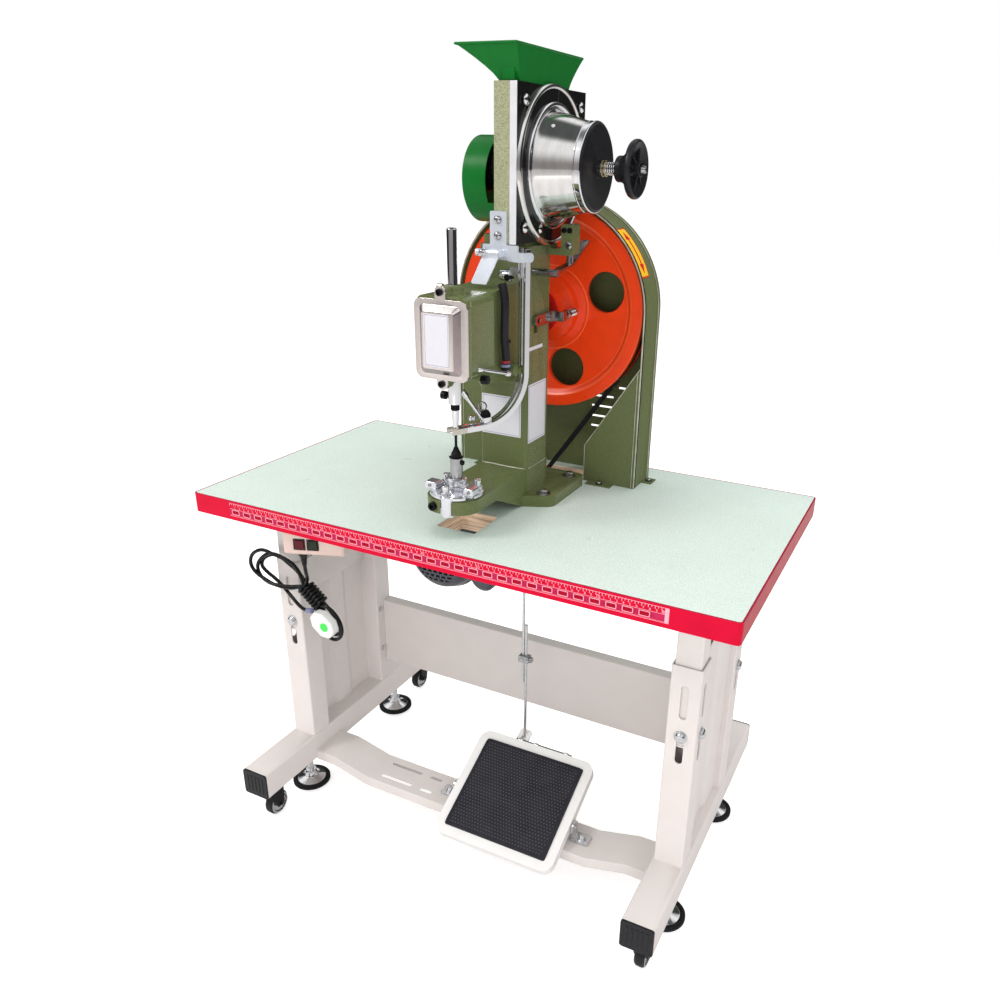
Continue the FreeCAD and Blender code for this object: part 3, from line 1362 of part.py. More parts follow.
def pulley_guard():
    """Round sheet cover over the hopper's drive pulley, cut away in front and above."""
    middle = hopper_z - cover_drop
    centre = (hopper_y, z_of(middle))
    low, high = cover_x
    shell = rod("x", centre, pulley_cover, low, high)
    shell = shell.cut(rod("x", centre, pulley_cover - sheet, low + sheet, high + 1))
    front_y = (hopper_y - pulley_cover - 1, hopper_y - 26)
    front_z = (z_of(middle - 34), z_of(middle + pulley_cover + 1))
    shell = shell.cut(box((low + 42, high + 1), front_y, front_z))
    rear_y = (hopper_y - 12, hopper_y + pulley_cover + 1)
    rear_z = (z_of(middle - pulley_cover - 1), z_of(middle - 8))
    return shell.cut(box((low + 10, high + 1), rear_y, rear_z))


def funnel():
    """Four sheet walls that flare outwards over a short throat."""
    seat = hopper_plate_z[1]
    steps = 6

    def ring(share, inward, lift):
        spread = share ** funnel_flare
        sides = []
        for base, rim in ((funnel_base_x, funnel_rim_x), (funnel_base_y, funnel_rim_y)):
            low = base[0] + (rim[0] - base[0]) * spread + inward
            high = base[1] + (rim[1] - base[1]) * spread - inward
            sides.append((low, high))
        (left, right), (near, far) = sides
        level = z_of(seat + funnel_height * share + lift)
        corners = ((left, near), (right, near), (right, far), (left, far), (left, near))
        return Part.makePolygon([Vec(x, y, level) for x, y in corners])

    outer = []
    inner = []
    for index in range(steps):
        share = index / (steps - 1)
        lift = {0: -0.1, steps - 1: 0.1}.get(index, 0)
        outer.append(ring(share, 0, 0))
        inner.append(ring(share, sheet, lift))
    return Part.makeLoft(outer, True, True).cut(Part.makeLoft(inner, True, True))


def hopper_stay():
    """Cranked flat strap from the column to the hopper's arm."""
    middle_x = stay_arm[0] - stay_arm_post / 2
    path = [(y, z_of(z)) for y, z in stay_path]
    path += [(y, z_of(z - stay_thickness)) for y, z in reversed(stay_path)]
    strap = prism("yz", path, *around(middle_x, stay_half))
    stud_y = stay_path[0][0] + 8
    stud = rod("x", (stud_y, z_of(stay_path[0][1] - 1)), stay_stud, column_half, middle_x + stay_half + 2)
    spacer_y = sum(stay_arm_y) / 2
    spacer = rod("z", (middle_x, spacer_y), stay_stud, z_of(stay_path[1][1] - 5), z_of(stay_arm[1]))
    return fuse([strap, stud, spacer])


# ================================================================ feed track
def track_direction():
    """Unit vector, in plan, from the upright stretch of the track to the punch."""
    return Vec(-track_x, punch_y - track_y, 0).normalize()


def to_track(shape):
    """Turns a piece drawn in XZ, +X towards the punch, into the track's own plane."""
    way = track_direction()
    shape.rotate(Vec(0, 0, 0), AXES["z"], math.degrees(math.atan2(way.y, way.x)))
    shape.translate(Vec(track_x, track_y, 0))
    return shape


def track_band(inner_offset, outer_offset, reach, top):
    """Upright stretch, quarter bend and level stretch between two offsets from the middle line."""
    centre = Vec(track_bend, 0, z_of(track_tip_z + track_bend))
    near = track_bend - inner_offset
    far = track_bend + outer_offset

    def bend(radius):
        corner = 0.5 ** 0.5
        return Part.Arc(Vec(centre.x - radius, 0, centre.z),
                        Vec(centre.x - radius * corner, 0, centre.z - radius * corner),
                        Vec(centre.x, 0, centre.z - radius)).toShape()

    edges = [Part.LineSegment(Vec(centre.x - near, 0, top), Vec(centre.x - near, 0, centre.z)).toShape(),
             bend(near),
             Part.LineSegment(Vec(centre.x, 0, centre.z - near), Vec(reach, 0, centre.z - near)).toShape(),
             Part.LineSegment(Vec(reach, 0, centre.z - near), Vec(reach, 0, centre.z - far)).toShape(),
             Part.LineSegment(Vec(reach, 0, centre.z - far), Vec(centre.x, 0, centre.z - far)).toShape(),
             bend(far),
             Part.LineSegment(Vec(centre.x - far, 0, centre.z), Vec(centre.x - far, 0, top)).toShape(),
             Part.LineSegment(Vec(centre.x - far, 0, top), Vec(centre.x - near, 0, top)).toShape()]
    return Part.Face(Part.Wire(Part.__sortEdges__(edges)))


def feed_track():
    """Chrome chute with its groove and the hinge block at its top, and the fork fixed to its tip."""
    half = track_thickness / 2
    plan = math.hypot(track_x, punch_y - track_y)
    reach = plan + track_overhang
    top = z_of(track_top)
    body = track_band(half, half, reach, top)
    body.translate(AXES["y"] * (-track_width / 2))
    body = body.extrude(AXES["y"] * track_width)
    groove = track_band(half + 1, -half + 4.5, reach + 1, top + 1)
    groove.translate(AXES["y"] * -4)
    groove = groove.extrude(AXES["y"] * 8)
    body = body.cut(groove)
    tip_z = (z_of(track_tip_z - 10), z_of(track_tip_z + 10))
    body = body.cut(rod("z", (plan, 0), fork_half, *tip_z))
    body = body.cut(box((plan, reach + 1), (-fork_half, fork_half), tip_z))
    end = box((plan - fork_seat, reach + 1), around(0, track_width), tip_z)
    fork = body.common(end)
    body = body.cut(end)
    hinge = rod("y", (0, z_of(track_pivot_z)), track_hinge, -track_ear, track_ear)
    low = Vec(plan - 56, 0, z_of(track_tip_z))
    high = Vec(plan - 24, -6, z_of(track_tip_z + 50))
    link = Part.makeCylinder(2.6, (high - low).Length, low, high - low)
    knuckle = box(around(low.x, 7), around(0, 6), (low.z, low.z + 14))
    ferrule = Part.makeCylinder(4.5, 12, high, high - low)
    track = fuse([body, hinge, link, knuckle, ferrule])
    pin = rod("y", (0, z_of(track_pivot_z)), pivot_radius + running_fit, -track_ear - 1, track_ear + 1)
    return to_track(Part.makeCompound([track.cut(pin), fork]))


def track_bracket():
    """Plate on the casting's front edge, the ears of the track's pin, and the latch's lugs."""
    front = hopper_plate_y[0]
    left = latch_x[0] - 6
    step = casting_x[0] - 5
    right = casting_x[1] - 3
    back = front - 4
    under, ledge, top = [z_of(height) for height in bracket_z]
    plate = prism("xz", [(left, under, 2), (track_x - 2, under, 2), (track_x - 2, ledge, 2),
                         (right, ledge, 2), (right, top, 2), (step, top, 2),
                         (step, ledge, 2), (left, ledge, 2)], back, front)
    pivot = z_of(track_pivot_z)
    ears = []
    for side in (-1, 1):
        ear_y = sorted((side * (track_ear + loose_fit), side * (track_ear + loose_fit + 4)))
        ears.append(prism("xz", [(9, pivot - 7, 3), (9, pivot + 7, 3), (-7, pivot + 7, 6),
                                 (-7, pivot - 7, 6)], *ear_y))
    web_y = (-track_ear - loose_fit - 4, track_ear + loose_fit + 4)
    ears.append(box((9, 22), web_y, around(pivot, 7)))
    ears.append(rod("y", (0, pivot), pivot_radius, -track_ear - 6, track_ear + 6))
    yoke = to_track(fuse(ears)).cut(box(around(track_x, 60), (back - 40, back), around(pivot, 20)))
    pieces = [plate, yoke]
    for height in bracket_screws:
        pieces.append(screw("y", ((step + right) / 2, z_of(height)), back, -1, 5, 3.5, 2, 2))
    for x in (left, latch_x[1] + 1):
        pieces.append(box((x, x + 4), (latch_y - 5, front), around(z_of(latch_z), 5)))
    bracket = fuse(pieces)
    return bracket.cut(rod("x", (latch_y, z_of(latch_z)), latch_pin + running_fit, left - 1,
                           latch_x[1] + 6))


def latch_lever():
    """Slanting finger plate that hangs from its pin in front of the track's top."""
    low, high = latch_x
    top = z_of(latch_z) + 3
    bend = z_of(latch_z) - 9
    foot = z_of(latch_z - latch_length)
    plate = prism("xz", [(low, top, 2), (high, top, 2), (high, bend), (high - 14, foot, 3),
                         (low - 14, foot, 3), (low, bend)], latch_y - 3.5, latch_y - 1.5)
    barrel = rod("x", (latch_y, z_of(latch_z)), 4.0, low, high)
    lever = fuse([plate, barrel])
    pin = rod("x", (latch_y, z_of(latch_z)), latch_pin, low - 7, high + 6)
    head = rod("x", (latch_y, z_of(latch_z)), 5.5, low - 12, low - 6 - body_gap)
    lever = fuse([lever, pin, head])
    lever.rotate(Vec(0, latch_y, z_of(latch_z)), AXES["x"], -latch_lean)
    return lever


# ================================================================ build
def main():
    os.makedirs("parts", exist_ok=True)
    save("table_top", table_top())
    save("table_edge_band", table_edge_band())
    frame = lower_frame()
    save("right_lower_frame", frame)
    save("left_lower_frame", mirrored(frame))
    leg = upper_leg()
    save("right_upper_leg", leg)
    save("left_upper_leg", mirrored(leg))
    save("foot_end_caps", foot_end_caps())
    save("stand_bolts", stand_bolts())
    save("rear_beam", rear_beam())
    save("foot_rail", foot_rail())
    corners = (("front_left", -1, -1), ("front_right", 1, -1), ("rear_left", -1, 1), ("rear_right", 1, 1))
    for name, side_x, side_y in corners:
        x = side_x * leg_x
        save(name + "_caster_fork", caster_fork(x, side_y * caster_y))
        save(name + "_caster_wheel", caster_wheel(x, side_y * caster_y))
        save(name + "_levelling_foot", levelling_foot(x, side_y * pad_y))
    save("pedal_frame", pedal_frame())
    save("pedal_mat", pedal_mat())
    save("pedal_brackets", pedal_brackets())
    save("lower_pull_rod", lower_pull_rod())
    save("rod_clamp", rod_clamp())
    save("upper_pull_rod", upper_pull_rod())
    save("motor", motor())
    save("motor_pulley", motor_pulley())
    save("v_belt", v_belt())
    save("switch_box", switch_box())
    save("red_button", push_button(red_along))
    save("green_button", push_button(green_along))
    save("power_cord", cord_tube())
    save("cord_hank", cord_hank())
    save("plug", plug())
    save("machine_frame", machine_frame())
    save("machine_screws", machine_screws())
    save("head_cover", head_cover())
    save("crankshaft", crankshaft())
    save("flywheel", flywheel())
    save("flywheel_guard", flywheel_guard())
    save("trip_lever", trip_lever())
    save("ram", ram())
    save("punch", punch())
    save("die_post", die_post())
    save("clamp_plate", clamp_plate())
    save("hopper_casting", hopper_casting())
    save("hopper_face_plate", hopper_face_plate())
    save("hopper_bowl", hopper_bowl())
    save("bowl_cover", bowl_cover())
    save("hopper_spindle", hopper_spindle())
    save("hopper_knob", hopper_knob())
    save("pulley_guard", pulley_guard())
    save("hopper_funnel", funnel())
    save("hopper_stay", hopper_stay())
    save("track_bracket", track_bracket())
    save("feed_track", feed_track())
    save("latch_lever", latch_lever())


main()
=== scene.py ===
"""Eyelet machine on its wheeled table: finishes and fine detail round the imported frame."""

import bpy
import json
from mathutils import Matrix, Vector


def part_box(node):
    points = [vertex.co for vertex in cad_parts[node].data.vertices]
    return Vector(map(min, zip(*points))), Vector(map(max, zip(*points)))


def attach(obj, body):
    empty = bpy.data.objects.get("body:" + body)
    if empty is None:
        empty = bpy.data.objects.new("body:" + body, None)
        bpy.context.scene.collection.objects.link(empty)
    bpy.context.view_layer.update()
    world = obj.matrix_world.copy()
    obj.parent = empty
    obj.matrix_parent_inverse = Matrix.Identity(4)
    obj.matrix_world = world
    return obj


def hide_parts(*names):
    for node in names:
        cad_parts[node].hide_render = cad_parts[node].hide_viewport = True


bl_info = {
    "name": "Eyelet Machine",
    "version": (1, 0, 0),
    "blender": (4, 5, 0),
    "location": "View3D > Sidebar > Eyelet Machine",
    "description": "Builds the visible pieces and finishes of a foot-operated eyelet machine",
    "category": "Add Mesh",
}

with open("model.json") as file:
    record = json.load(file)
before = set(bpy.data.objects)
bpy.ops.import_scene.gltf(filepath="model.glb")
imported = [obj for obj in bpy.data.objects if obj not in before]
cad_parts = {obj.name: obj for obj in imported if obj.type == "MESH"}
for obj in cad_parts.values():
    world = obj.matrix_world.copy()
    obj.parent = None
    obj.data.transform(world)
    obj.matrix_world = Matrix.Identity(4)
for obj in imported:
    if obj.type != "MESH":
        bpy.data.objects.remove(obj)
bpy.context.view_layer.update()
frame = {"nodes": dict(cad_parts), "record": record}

import json
import math

import bmesh
import bpy
from mathutils import Matrix, Vector

# Lengths are millimetres, in the frame's own axes, until a mesh is made.
MM = 0.001
WELD = 0.00002                  # metres between points of the CAD mesh that are one point
FLAT = math.radians(0.6)        # the turn below which two faces count as one
SHARP = math.radians(32)        # the turn above which an edge is rounded
WASHER = 1.6                    # thickness of a screw's washer


# ---------------------------------------------------------------- places from the frame
def low(node):
    return Vector(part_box(node)[0]) / MM


def high(node):
    return Vector(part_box(node)[1]) / MM


def middle(node):
    return (low(node) + high(node)) / 2


TOP = high("table_top").z                  # work surface
PUNCH = middle("ram")                      # X and Y of the punch axis
SHAFT = middle("flywheel")                 # X and Z of the flywheel's axis
HOPPER = middle("hopper_bowl")             # Y and Z of the hopper's axis
MOTOR = middle("motor_pulley")             # X and Z of the motor's shaft
SLOT_OF = {row["node"]: row["material_slot"] for row in frame["record"]["subparts"]}
BODY_OF = {node: body for body, nodes in frame["record"]["behaviour"]["bodies"].items() for node in nodes}


# ---------------------------------------------------------------- materials
COAT_ROUGHNESS = 0.12
WORN_EDGE = (0.53, 0.60)        # pointiness where wear starts and where it is full
WORN_PATCH = (0.40, 0.62)       # noise that breaks the wear up
FLOOR_GLOW = 0.62               # light of the floor that only the camera sees


def connect(tree, node, name, value):
    """Gives a node's input a value, or links another node's output to it."""
    socket = node.inputs[name]
    if isinstance(value, bpy.types.NodeSocket):
        tree.links.new(value, socket)
    elif socket.type == "RGBA":
        socket.default_value = (*value, 1)
    else:
        socket.default_value = value


def add_node(tree, kind, inputs=None, **settings):
    """A new node with its settings and inputs."""
    node = tree.nodes.new("ShaderNode" + kind)
    for name, value in settings.items():
        setattr(node, name, value)
    for name, value in (inputs or {}).items():
        connect(tree, node, name, value)
    return node


def blend(tree, base, factor, other):
    """One colour over another, by a factor."""
    mix = add_node(tree, "Mix", {"Factor": factor, "A": base, "B": other}, data_type="RGBA")
    return mix.outputs["Result"]


def between(tree, value, start, stop, **settings):
    """0 where a value is at start and 1 where it is at stop."""
    step = add_node(tree, "MapRange", {"Value": value, "From Min": start, "From Max": stop}, **settings)
    return step.outputs["Result"]


def product(tree, first, second):
    return add_node(tree, "Math", {0: first, 1: second}, operation="MULTIPLY").outputs[0]


def shade(name, colour, roughness, metallic=0.0, mottle=0.05, mottle_size=12.0, bump="fine", bump_size=0.6,
          bump_height=0.02, rough_spread=0.06, coat=0.0, wear=None, wear_amount=0.35, specks=(),
          stretch=(1.0, 1.0, 1.0), gloss=0.3):
    """A node material: mottled colour, uneven roughness, a surface bump and, if asked, worn edges.

    Sizes and heights are millimetres. Specks are rows of colour, size, and where they start and are full.
    """
    material = bpy.data.materials.new(name)
    material.use_nodes = True
    tree = material.node_tree
    shader = tree.nodes["Principled BSDF"]
    shader.inputs["Metallic"].default_value = metallic
    shader.inputs["Specular IOR Level"].default_value = gloss
    shader.inputs["Coat Weight"].default_value = coat
    shader.inputs["Coat Roughness"].default_value = COAT_ROUGHNESS
    place = add_node(tree, "TexCoord").outputs["Object"]
    scaled = add_node(tree, "Mapping", {"Vector": place, "Scale": stretch}).outputs["Vector"]

    def noise(size, detail=3.0):
        inputs = {"Vector": scaled, "Scale": 1.0 / (size * MM), "Detail": detail}
        return add_node(tree, "TexNoise", inputs).outputs["Fac"]

    ramp = add_node(tree, "ValToRGB", {"Fac": noise(mottle_size)})
    for element, position, factor in zip(ramp.color_ramp.elements, (0.3, 0.7), (1 - mottle, 1 + mottle)):
        element.position = position
        element.color = (*(min(1.0, c * factor) for c in colour), 1)
    tint = ramp.outputs["Color"]
    for speck, size, start, stop in specks:
        tint = blend(tree, tint, between(tree, noise(size, 2.0), start, stop), speck)
    if wear:
        edge = between(tree, add_node(tree, "NewGeometry").outputs["Pointiness"], *WORN_EDGE)
        patches = between(tree, noise(mottle_size / 2), *WORN_PATCH)
        tint = blend(tree, tint, product(tree, product(tree, edge, patches), wear_amount), wear)
    tree.links.new(tint, shader.inputs["Base Color"])

    spread = {"Value": noise(mottle_size * 0.7), "To Min": max(0.02, roughness - rough_spread),
              "To Max": min(1.0, roughness + rough_spread)}
    tree.links.new(add_node(tree, "MapRange", spread).outputs["Result"], shader.inputs["Roughness"])
    if bump == "dimple":
        inputs = {"Vector": scaled, "Scale": 1.0 / (bump_size * MM)}
        height = add_node(tree, "TexVoronoi", inputs, feature="SMOOTH_F1").outputs["Distance"]
    else:
        height = noise(bump_size, 2.0)
    relief = add_node(tree, "Bump", {"Strength": 1.0, "Distance": bump_height * MM, "Height": height})
    tree.links.new(relief.outputs["Normal"], shader.inputs["Normal"])
    return material


# Finish: material name, colour or the setting that holds it, roughness, and what differs from shade's own.
FINISHES = {
    "laminate": ("mint speckled laminate", "laminate", 0.30,
        dict(gloss=0.15, mottle=0.02, mottle_size=60, bump_size=1.2, bump_height=0.006,
             specks=[((0.44, 0.54, 0.48), 1.2, 0.52, 0.66), ((0.86, 0.93, 0.88), 1.7, 0.55, 0.67)])),
    "plywood": ("plywood edge", (0.70, 0.51, 0.37), 0.65,
        dict(mottle=0.50, mottle_size=3.6, bump_size=0.8, bump_height=0.08, stretch=(0.05, 0.05, 1.6),
             gloss=0.1)),
    "red_edge": ("red edge band", "edge", 0.34,
        dict(gloss=0.1, mottle_size=40, bump_size=2.0, bump_height=0.01)),
    # Painted shade: a darker red for the band's faces that look to +X, the side turned from the light.
    "side_edge": ("worn red side band", (0.46, 0.020, 0.034), 0.34,
        dict(mottle=0.10, mottle_size=30, gloss=0.12)),
    "plum_edge": ("plum edge bead", (0.30, 0.010, 0.045), 0.34, dict(mottle=0.06, mottle_size=30)),
    "print": ("pale pink print", (0.95, 0.45, 0.55), 0.45, dict(gloss=0.1, mottle=0.06, mottle_size=1.5)),
    "dark_print": ("dark red print", (0.40, 0.001, 0.020), 0.45,
        dict(gloss=0.1, mottle=0.06, mottle_size=1.5)),
    "pink_print": ("pink print", (0.56, 0.022, 0.10), 0.45, dict(gloss=0.1, mottle=0.06, mottle_size=1.5)),
    "powder_coat": ("off-white powder coat", "stand", 0.42,
        dict(gloss=0.2, mottle=0.02, mottle_size=45, bump_size=0.9, bump_height=0.010,
             wear=(0.60, 0.56, 0.52), wear_amount=0.15)),
    "pedal_white": ("white powder coat", (0.90, 0.88, 0.875), 0.42,
        dict(gloss=0.2, mottle=0.015, mottle_size=30, bump_size=0.9, bump_height=0.008)),
    "hammertone": ("olive hammertone", "casting", 0.26,
        dict(mottle=0.10, gloss=0.22, mottle_size=3.0, bump="dimple", bump_size=2.6, bump_height=0.035,
             wear=(0.45, 0.46, 0.34), wear_amount=0.25)),
    "khaki": ("khaki speckled paint", (0.33, 0.34, 0.20), 0.50,
        dict(mottle=0.15, mottle_size=1.6, bump="dimple", bump_size=2.0, bump_height=0.05,
             specks=[((0.17, 0.18, 0.09), 1.3, 0.54, 0.60), ((0.60, 0.60, 0.46), 1.2, 0.58, 0.66)])),
    "guard_paint": ("olive sheet paint", "guard", 0.30,
        dict(mottle=0.07, gloss=0.2, mottle_size=6.0, bump_size=3.2, bump_height=0.01)),
    # Painted highlight: a pale finish on thin wires along edges and seams, standing for the light they
    # catch.
    "lip_paint": ("worn sheet lip", (0.52, 0.52, 0.42), 0.30,
        dict(metallic=0.5, mottle=0.2, mottle_size=14.0)),
    "silver_enamel": ("silver enamel", (0.80, 0.73, 0.70), 0.20,
        dict(metallic=0.9, mottle=0.02, mottle_size=8.0, bump_size=6.0, bump_height=0.004,
             rough_spread=0.02)),
    # Painted shade: a darker copy of the silver enamel for the head cover's bevels that face front, down or
    # aside.
    "painted_shade_enamel": ("shaded silver bevel", (0.42, 0.35, 0.36), 0.22,
        dict(metallic=0.9, bump_size=6.0, bump_height=0.004, rough_spread=0.02)),
    "orange_paint": ("orange-red enamel", "flywheel", 0.30,
        dict(gloss=0.25, mottle=0.04, mottle_size=25, bump_size=2.5, coat=0.05)),
    "rim_paint": ("light orange rim", (0.92, 0.115, 0.030), 0.25,
        dict(mottle=0.04, mottle_size=25, coat=0.1)),
    "green_paint": ("bright green enamel", "funnel", 0.32,
        dict(gloss=0.12, mottle_size=18, bump_size=2.0, bump_height=0.01)),
    "black_plate": ("black gloss plate", (0.006, 0.006, 0.006), 0.22,
        dict(mottle=0.2, mottle_size=9.0, bump_size=3.0, bump_height=0.010, gloss=0.25)),
    # Painted reflection: the bright metal raceway is made near black to stand for the dark room it mirrors.
    "black_race": ("dark polished raceway", (0.020, 0.020, 0.021), 0.12,
        dict(metallic=0.6, mottle=0.1, mottle_size=9.0, coat=0.1)),
    "bright_strip": ("bright plate edge", (0.80, 0.81, 0.84), 0.35,
        dict(metallic=0.35, mottle=0.06, mottle_size=20.0, bump_height=0.005)),
    "satin": ("satin silver plate", (0.74, 0.78, 0.86), 0.32,
        dict(metallic=0.55, mottle=0.03, mottle_size=9.0, bump_size=2.0, bump_height=0.003)),
    "motor_grey": ("slate motor enamel", (0.075, 0.078, 0.095), 0.34,
        dict(metallic=0.2, mottle=0.12, mottle_size=5.0, bump="dimple", bump_size=2.4, bump_height=0.03,
             coat=0.2)),
    "chrome": ("polished chrome", (0.80, 0.80, 0.82), 0.06,
        dict(metallic=1.0, mottle=0.03, mottle_size=20, bump_size=9.0, bump_height=0.006,
             rough_spread=0.02)),
    "warm_chrome": ("warm silver plate", (0.62, 0.58, 0.53), 0.12,
        dict(metallic=1.0, mottle=0.06, mottle_size=9.0, rough_spread=0.03, bump_height=0.004)),
    "spun": ("spun bright steel", (0.74, 0.73, 0.72), 0.11,
        dict(metallic=1.0, mottle=0.10, mottle_size=16.0, bump_size=2.0, bump_height=0.0015,
             stretch=(1.5, 0.5, 0.5), rough_spread=0.03)),
    "steel": ("machined steel", (0.42, 0.42, 0.43), 0.22,
        dict(metallic=1.0, mottle=0.10, mottle_size=7.0, bump_size=0.8, bump_height=0.003)),
    "black_steel": ("blackened steel", (0.008, 0.008, 0.009), 0.30,
        dict(metallic=0.3, gloss=0.2, mottle=0.25, mottle_size=4.0, bump_size=0.8, bump_height=0.006)),
    "zinc": ("bright zinc", (0.66, 0.67, 0.69), 0.22,
        dict(metallic=1.0, mottle=0.10, mottle_size=5.0, bump_size=0.9, bump_height=0.004)),
    "alloy": ("bright cast alloy", (0.76, 0.77, 0.82), 0.22,
        dict(metallic=0.9, mottle_size=9.0, bump="dimple", bump_size=5.0, bump_height=0.010)),
    "brass": ("pale brass", (0.70, 0.60, 0.40), 0.20,
        dict(metallic=1.0, mottle=0.10, mottle_size=4.0, bump_size=0.9, bump_height=0.004)),
    "black_plastic": ("black moulded plastic", (0.013, 0.013, 0.016), 0.34,
        dict(gloss=0.25, mottle=0.2, mottle_size=6.0, bump_size=0.8, bump_height=0.012)),
    "black_rubber": ("black rubber", (0.012, 0.012, 0.014), 0.55,
        dict(gloss=0.15, mottle=0.25, mottle_size=5.0, bump_height=0.03)),
    "mat_rubber": ("dotted black rubber", (0.026, 0.025, 0.032), 0.50,
        dict(gloss=0.15, mottle=0.2, mottle_size=35.0, bump_size=0.8, bump_height=0.03)),
    "mat_dots": ("mat dots", (0.075, 0.072, 0.088), 0.42, dict(gloss=0.2, mottle=0.1, mottle_size=5.0)),
    "cord_black": ("black cord sheath", (0.004, 0.004, 0.005), 0.24,
        dict(mottle=0.2, mottle_size=8.0, bump_size=1.0, bump_height=0.006)),
    "white_plastic": ("white plastic", (0.88, 0.88, 0.87), 0.35,
        dict(mottle=0.02, mottle_size=8.0, bump_height=0.01)),
    "slate_plastic": ("blue-grey plastic", (0.20, 0.22, 0.36), 0.35, dict(mottle=0.1, mottle_size=4.0)),
    "box_plastic": ("warm cream switch enamel", (0.74, 0.56, 0.50), 0.36,
        dict(mottle=0.03, bump_size=0.8, bump_height=0.01)),
    "red_plastic": ("dark red button", (0.10, 0.001, 0.006), 0.25,
        dict(mottle=0.08, mottle_size=4.0, bump_size=0.5, bump_height=0.01, coat=0.1)),
    "green_plastic": ("dark green button", (0.012, 0.022, 0.008), 0.25,
        dict(mottle=0.08, mottle_size=4.0, bump_size=0.5, bump_height=0.01, coat=0.1)),
    "green_dot": ("green paper dot", (0.07, 0.80, 0.12), 0.55, dict(mottle_size=3.0)),
    "paper": ("blank white label", (0.70, 0.69, 0.74), 0.42,
        dict(gloss=0.2, mottle=0.015, mottle_size=9.0, bump_size=1.5, bump_height=0.006)),
    "grey_print": ("grey label border", (0.36, 0.34, 0.42), 0.42, dict(mottle_size=9.0)),
    "yellow_label": ("yellow label", (0.95, 0.56, 0.015), 0.40, dict(mottle=0.04, mottle_size=6.0)),
    "red_print": ("red print", (0.70, 0.015, 0.012), 0.40, dict(mottle_size=4.0)),
    "grease": ("dark oiled steel", (0.09, 0.09, 0.09), 0.28,
        dict(metallic=0.8, mottle=0.3, mottle_size=3.0, bump_size=0.9, bump_height=0.01)),
    "tan_hose": ("red-white hose bits", (0.30, 0.03, 0.03), 0.4, dict(mottle=0.5, mottle_size=2.0)),
    "backdrop": ("pale studio floor", (0.80, 0.79, 0.785), 0.9,
        dict(mottle=0.004, mottle_size=900, bump_size=40, bump_height=0.0, gloss=0.0)),
}


def make_finishes(tones):
    """Every finish of the machine, by name."""
    kit = {}
    for name, (label, colour, roughness, options) in FINISHES.items():
        if isinstance(colour, str):
            colour = getattr(tones, colour)
        kit[name] = shade(label, colour, roughness, **options)
    tree = kit["backdrop"].node_tree
    lit = tree.nodes["Principled BSDF"]
    lit.inputs["Emission Color"].default_value = (1, 1, 1, 1)
    seen = product(tree, add_node(tree, "LightPath").outputs["Is Camera Ray"], FLOOR_GLOW)
    tree.links.new(seen, lit.inputs["Emission Strength"])
    return kit


KIT = {}


# ---------------------------------------------------------------- mesh tools
def mesh_from(bm, name, scale=MM):
    """A mesh in metres from a bmesh, which is in millimetres unless scale says otherwise."""
    bmesh.ops.scale(bm, vec=(scale, scale, scale), verts=bm.verts)
    mesh = bpy.data.meshes.new(name)
    bm.to_mesh(mesh)
    bm.free()
    return mesh


def join_into(bm, part, place):
    """Moves a part by a matrix and adds it to another bmesh."""
    part.transform(place)
    scratch = bpy.data.meshes.new("scratch")
    part.to_mesh(scratch)
    part.free()
    bm.from_mesh(scratch)
    bpy.data.meshes.remove(scratch)


def own(name, data, node, finishes, stands_for=()):
    """A finished object that rides on a node's body."""
    obj = bpy.data.objects.new(name, data)
    bpy.context.scene.collection.objects.link(obj)
    for finish in [finishes] if isinstance(finishes, str) else finishes:
        data.materials.append(KIT[finish])
    body, slot = BODY_OF[node], SLOT_OF[node]
    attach(obj, body)
    if stands_for:
        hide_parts(*stands_for)
    return obj


def piece(name, bm, node, finishes, stands_for=(), smooth=35, scale=MM):
    """Makes a bmesh into a piece; smooth is the angle above which its edges stay sharp."""
    mesh = mesh_from(bm, name, scale)
    if smooth:
        mesh.shade_smooth()
        mesh.set_sharp_from_angle(angle=math.radians(smooth))
    return own(name, mesh, node, finishes, stands_for)


def round_edges(obj, width, segments=2):
    """Rounds the sharp edges of a piece."""
    edge = obj.modifiers.new("edges", "BEVEL")
    edge.width = width * MM
    edge.segments = segments
    edge.limit_method = "ANGLE"
    edge.angle_limit = SHARP
    edge.harden_normals = True
    edge.miter_outer = "MITER_ARC"
    return obj


def dress(node, finish, width=0.8, segments=2, sides=(), merge=True):
    """A rounded, finished copy of a frame node.

    Sides are rows of a test of a face's normal and centre, and the finish of the faces that pass it.
    """
    bm = bmesh.new()
    bm.from_mesh(frame["nodes"][node].data)
    bmesh.ops.remove_doubles(bm, verts=bm.verts, dist=WELD)
    if merge:
        bmesh.ops.dissolve_limit(bm, angle_limit=FLAT, verts=bm.verts, edges=bm.edges)
    for face in bm.faces:
        face.material_index = 0
        for index, (test, _) in enumerate(sides, 1):
            if test(face.normal, face.calc_center_median() / MM):
                face.material_index = index
    finishes = [finish] + [other for _, other in sides]
    obj = piece(node + "_finished", bm, node, finishes, (node,), scale=1.0)
    return round_edges(obj, width, segments) if width else obj


def soften(profile, count=3):
    """A profile of (radius, along) points; a third value rounds that corner."""
    out = []
    for index, point in enumerate(profile):
        if len(point) < 3 or index in (0, len(profile) - 1):
            out.append((point[0], point[1]))
            continue
        here = Vector(point[:2])
        before = Vector(profile[index - 1][:2]) - here
        after = Vector(profile[index + 1][:2]) - here
        reach = min(point[2], before.length * 0.48, after.length * 0.48)
        start = here + before.normalized() * reach
        end = here + after.normalized() * reach
        for step in range(count + 1):
            t = step / count
            out.append(tuple(start * (1 - t) ** 2 + here * 2 * t * (1 - t) + end * t * t))
    return out


def around(axis, centre, radius, angle, along):
    """A point round an axis; centre gives the two other coordinates in X, Y, Z order."""
    point = [centre[0] + radius * math.cos(angle), centre[1] + radius * math.sin(angle)]
    point.insert("xyz".index(axis), along)
    return tuple(point)


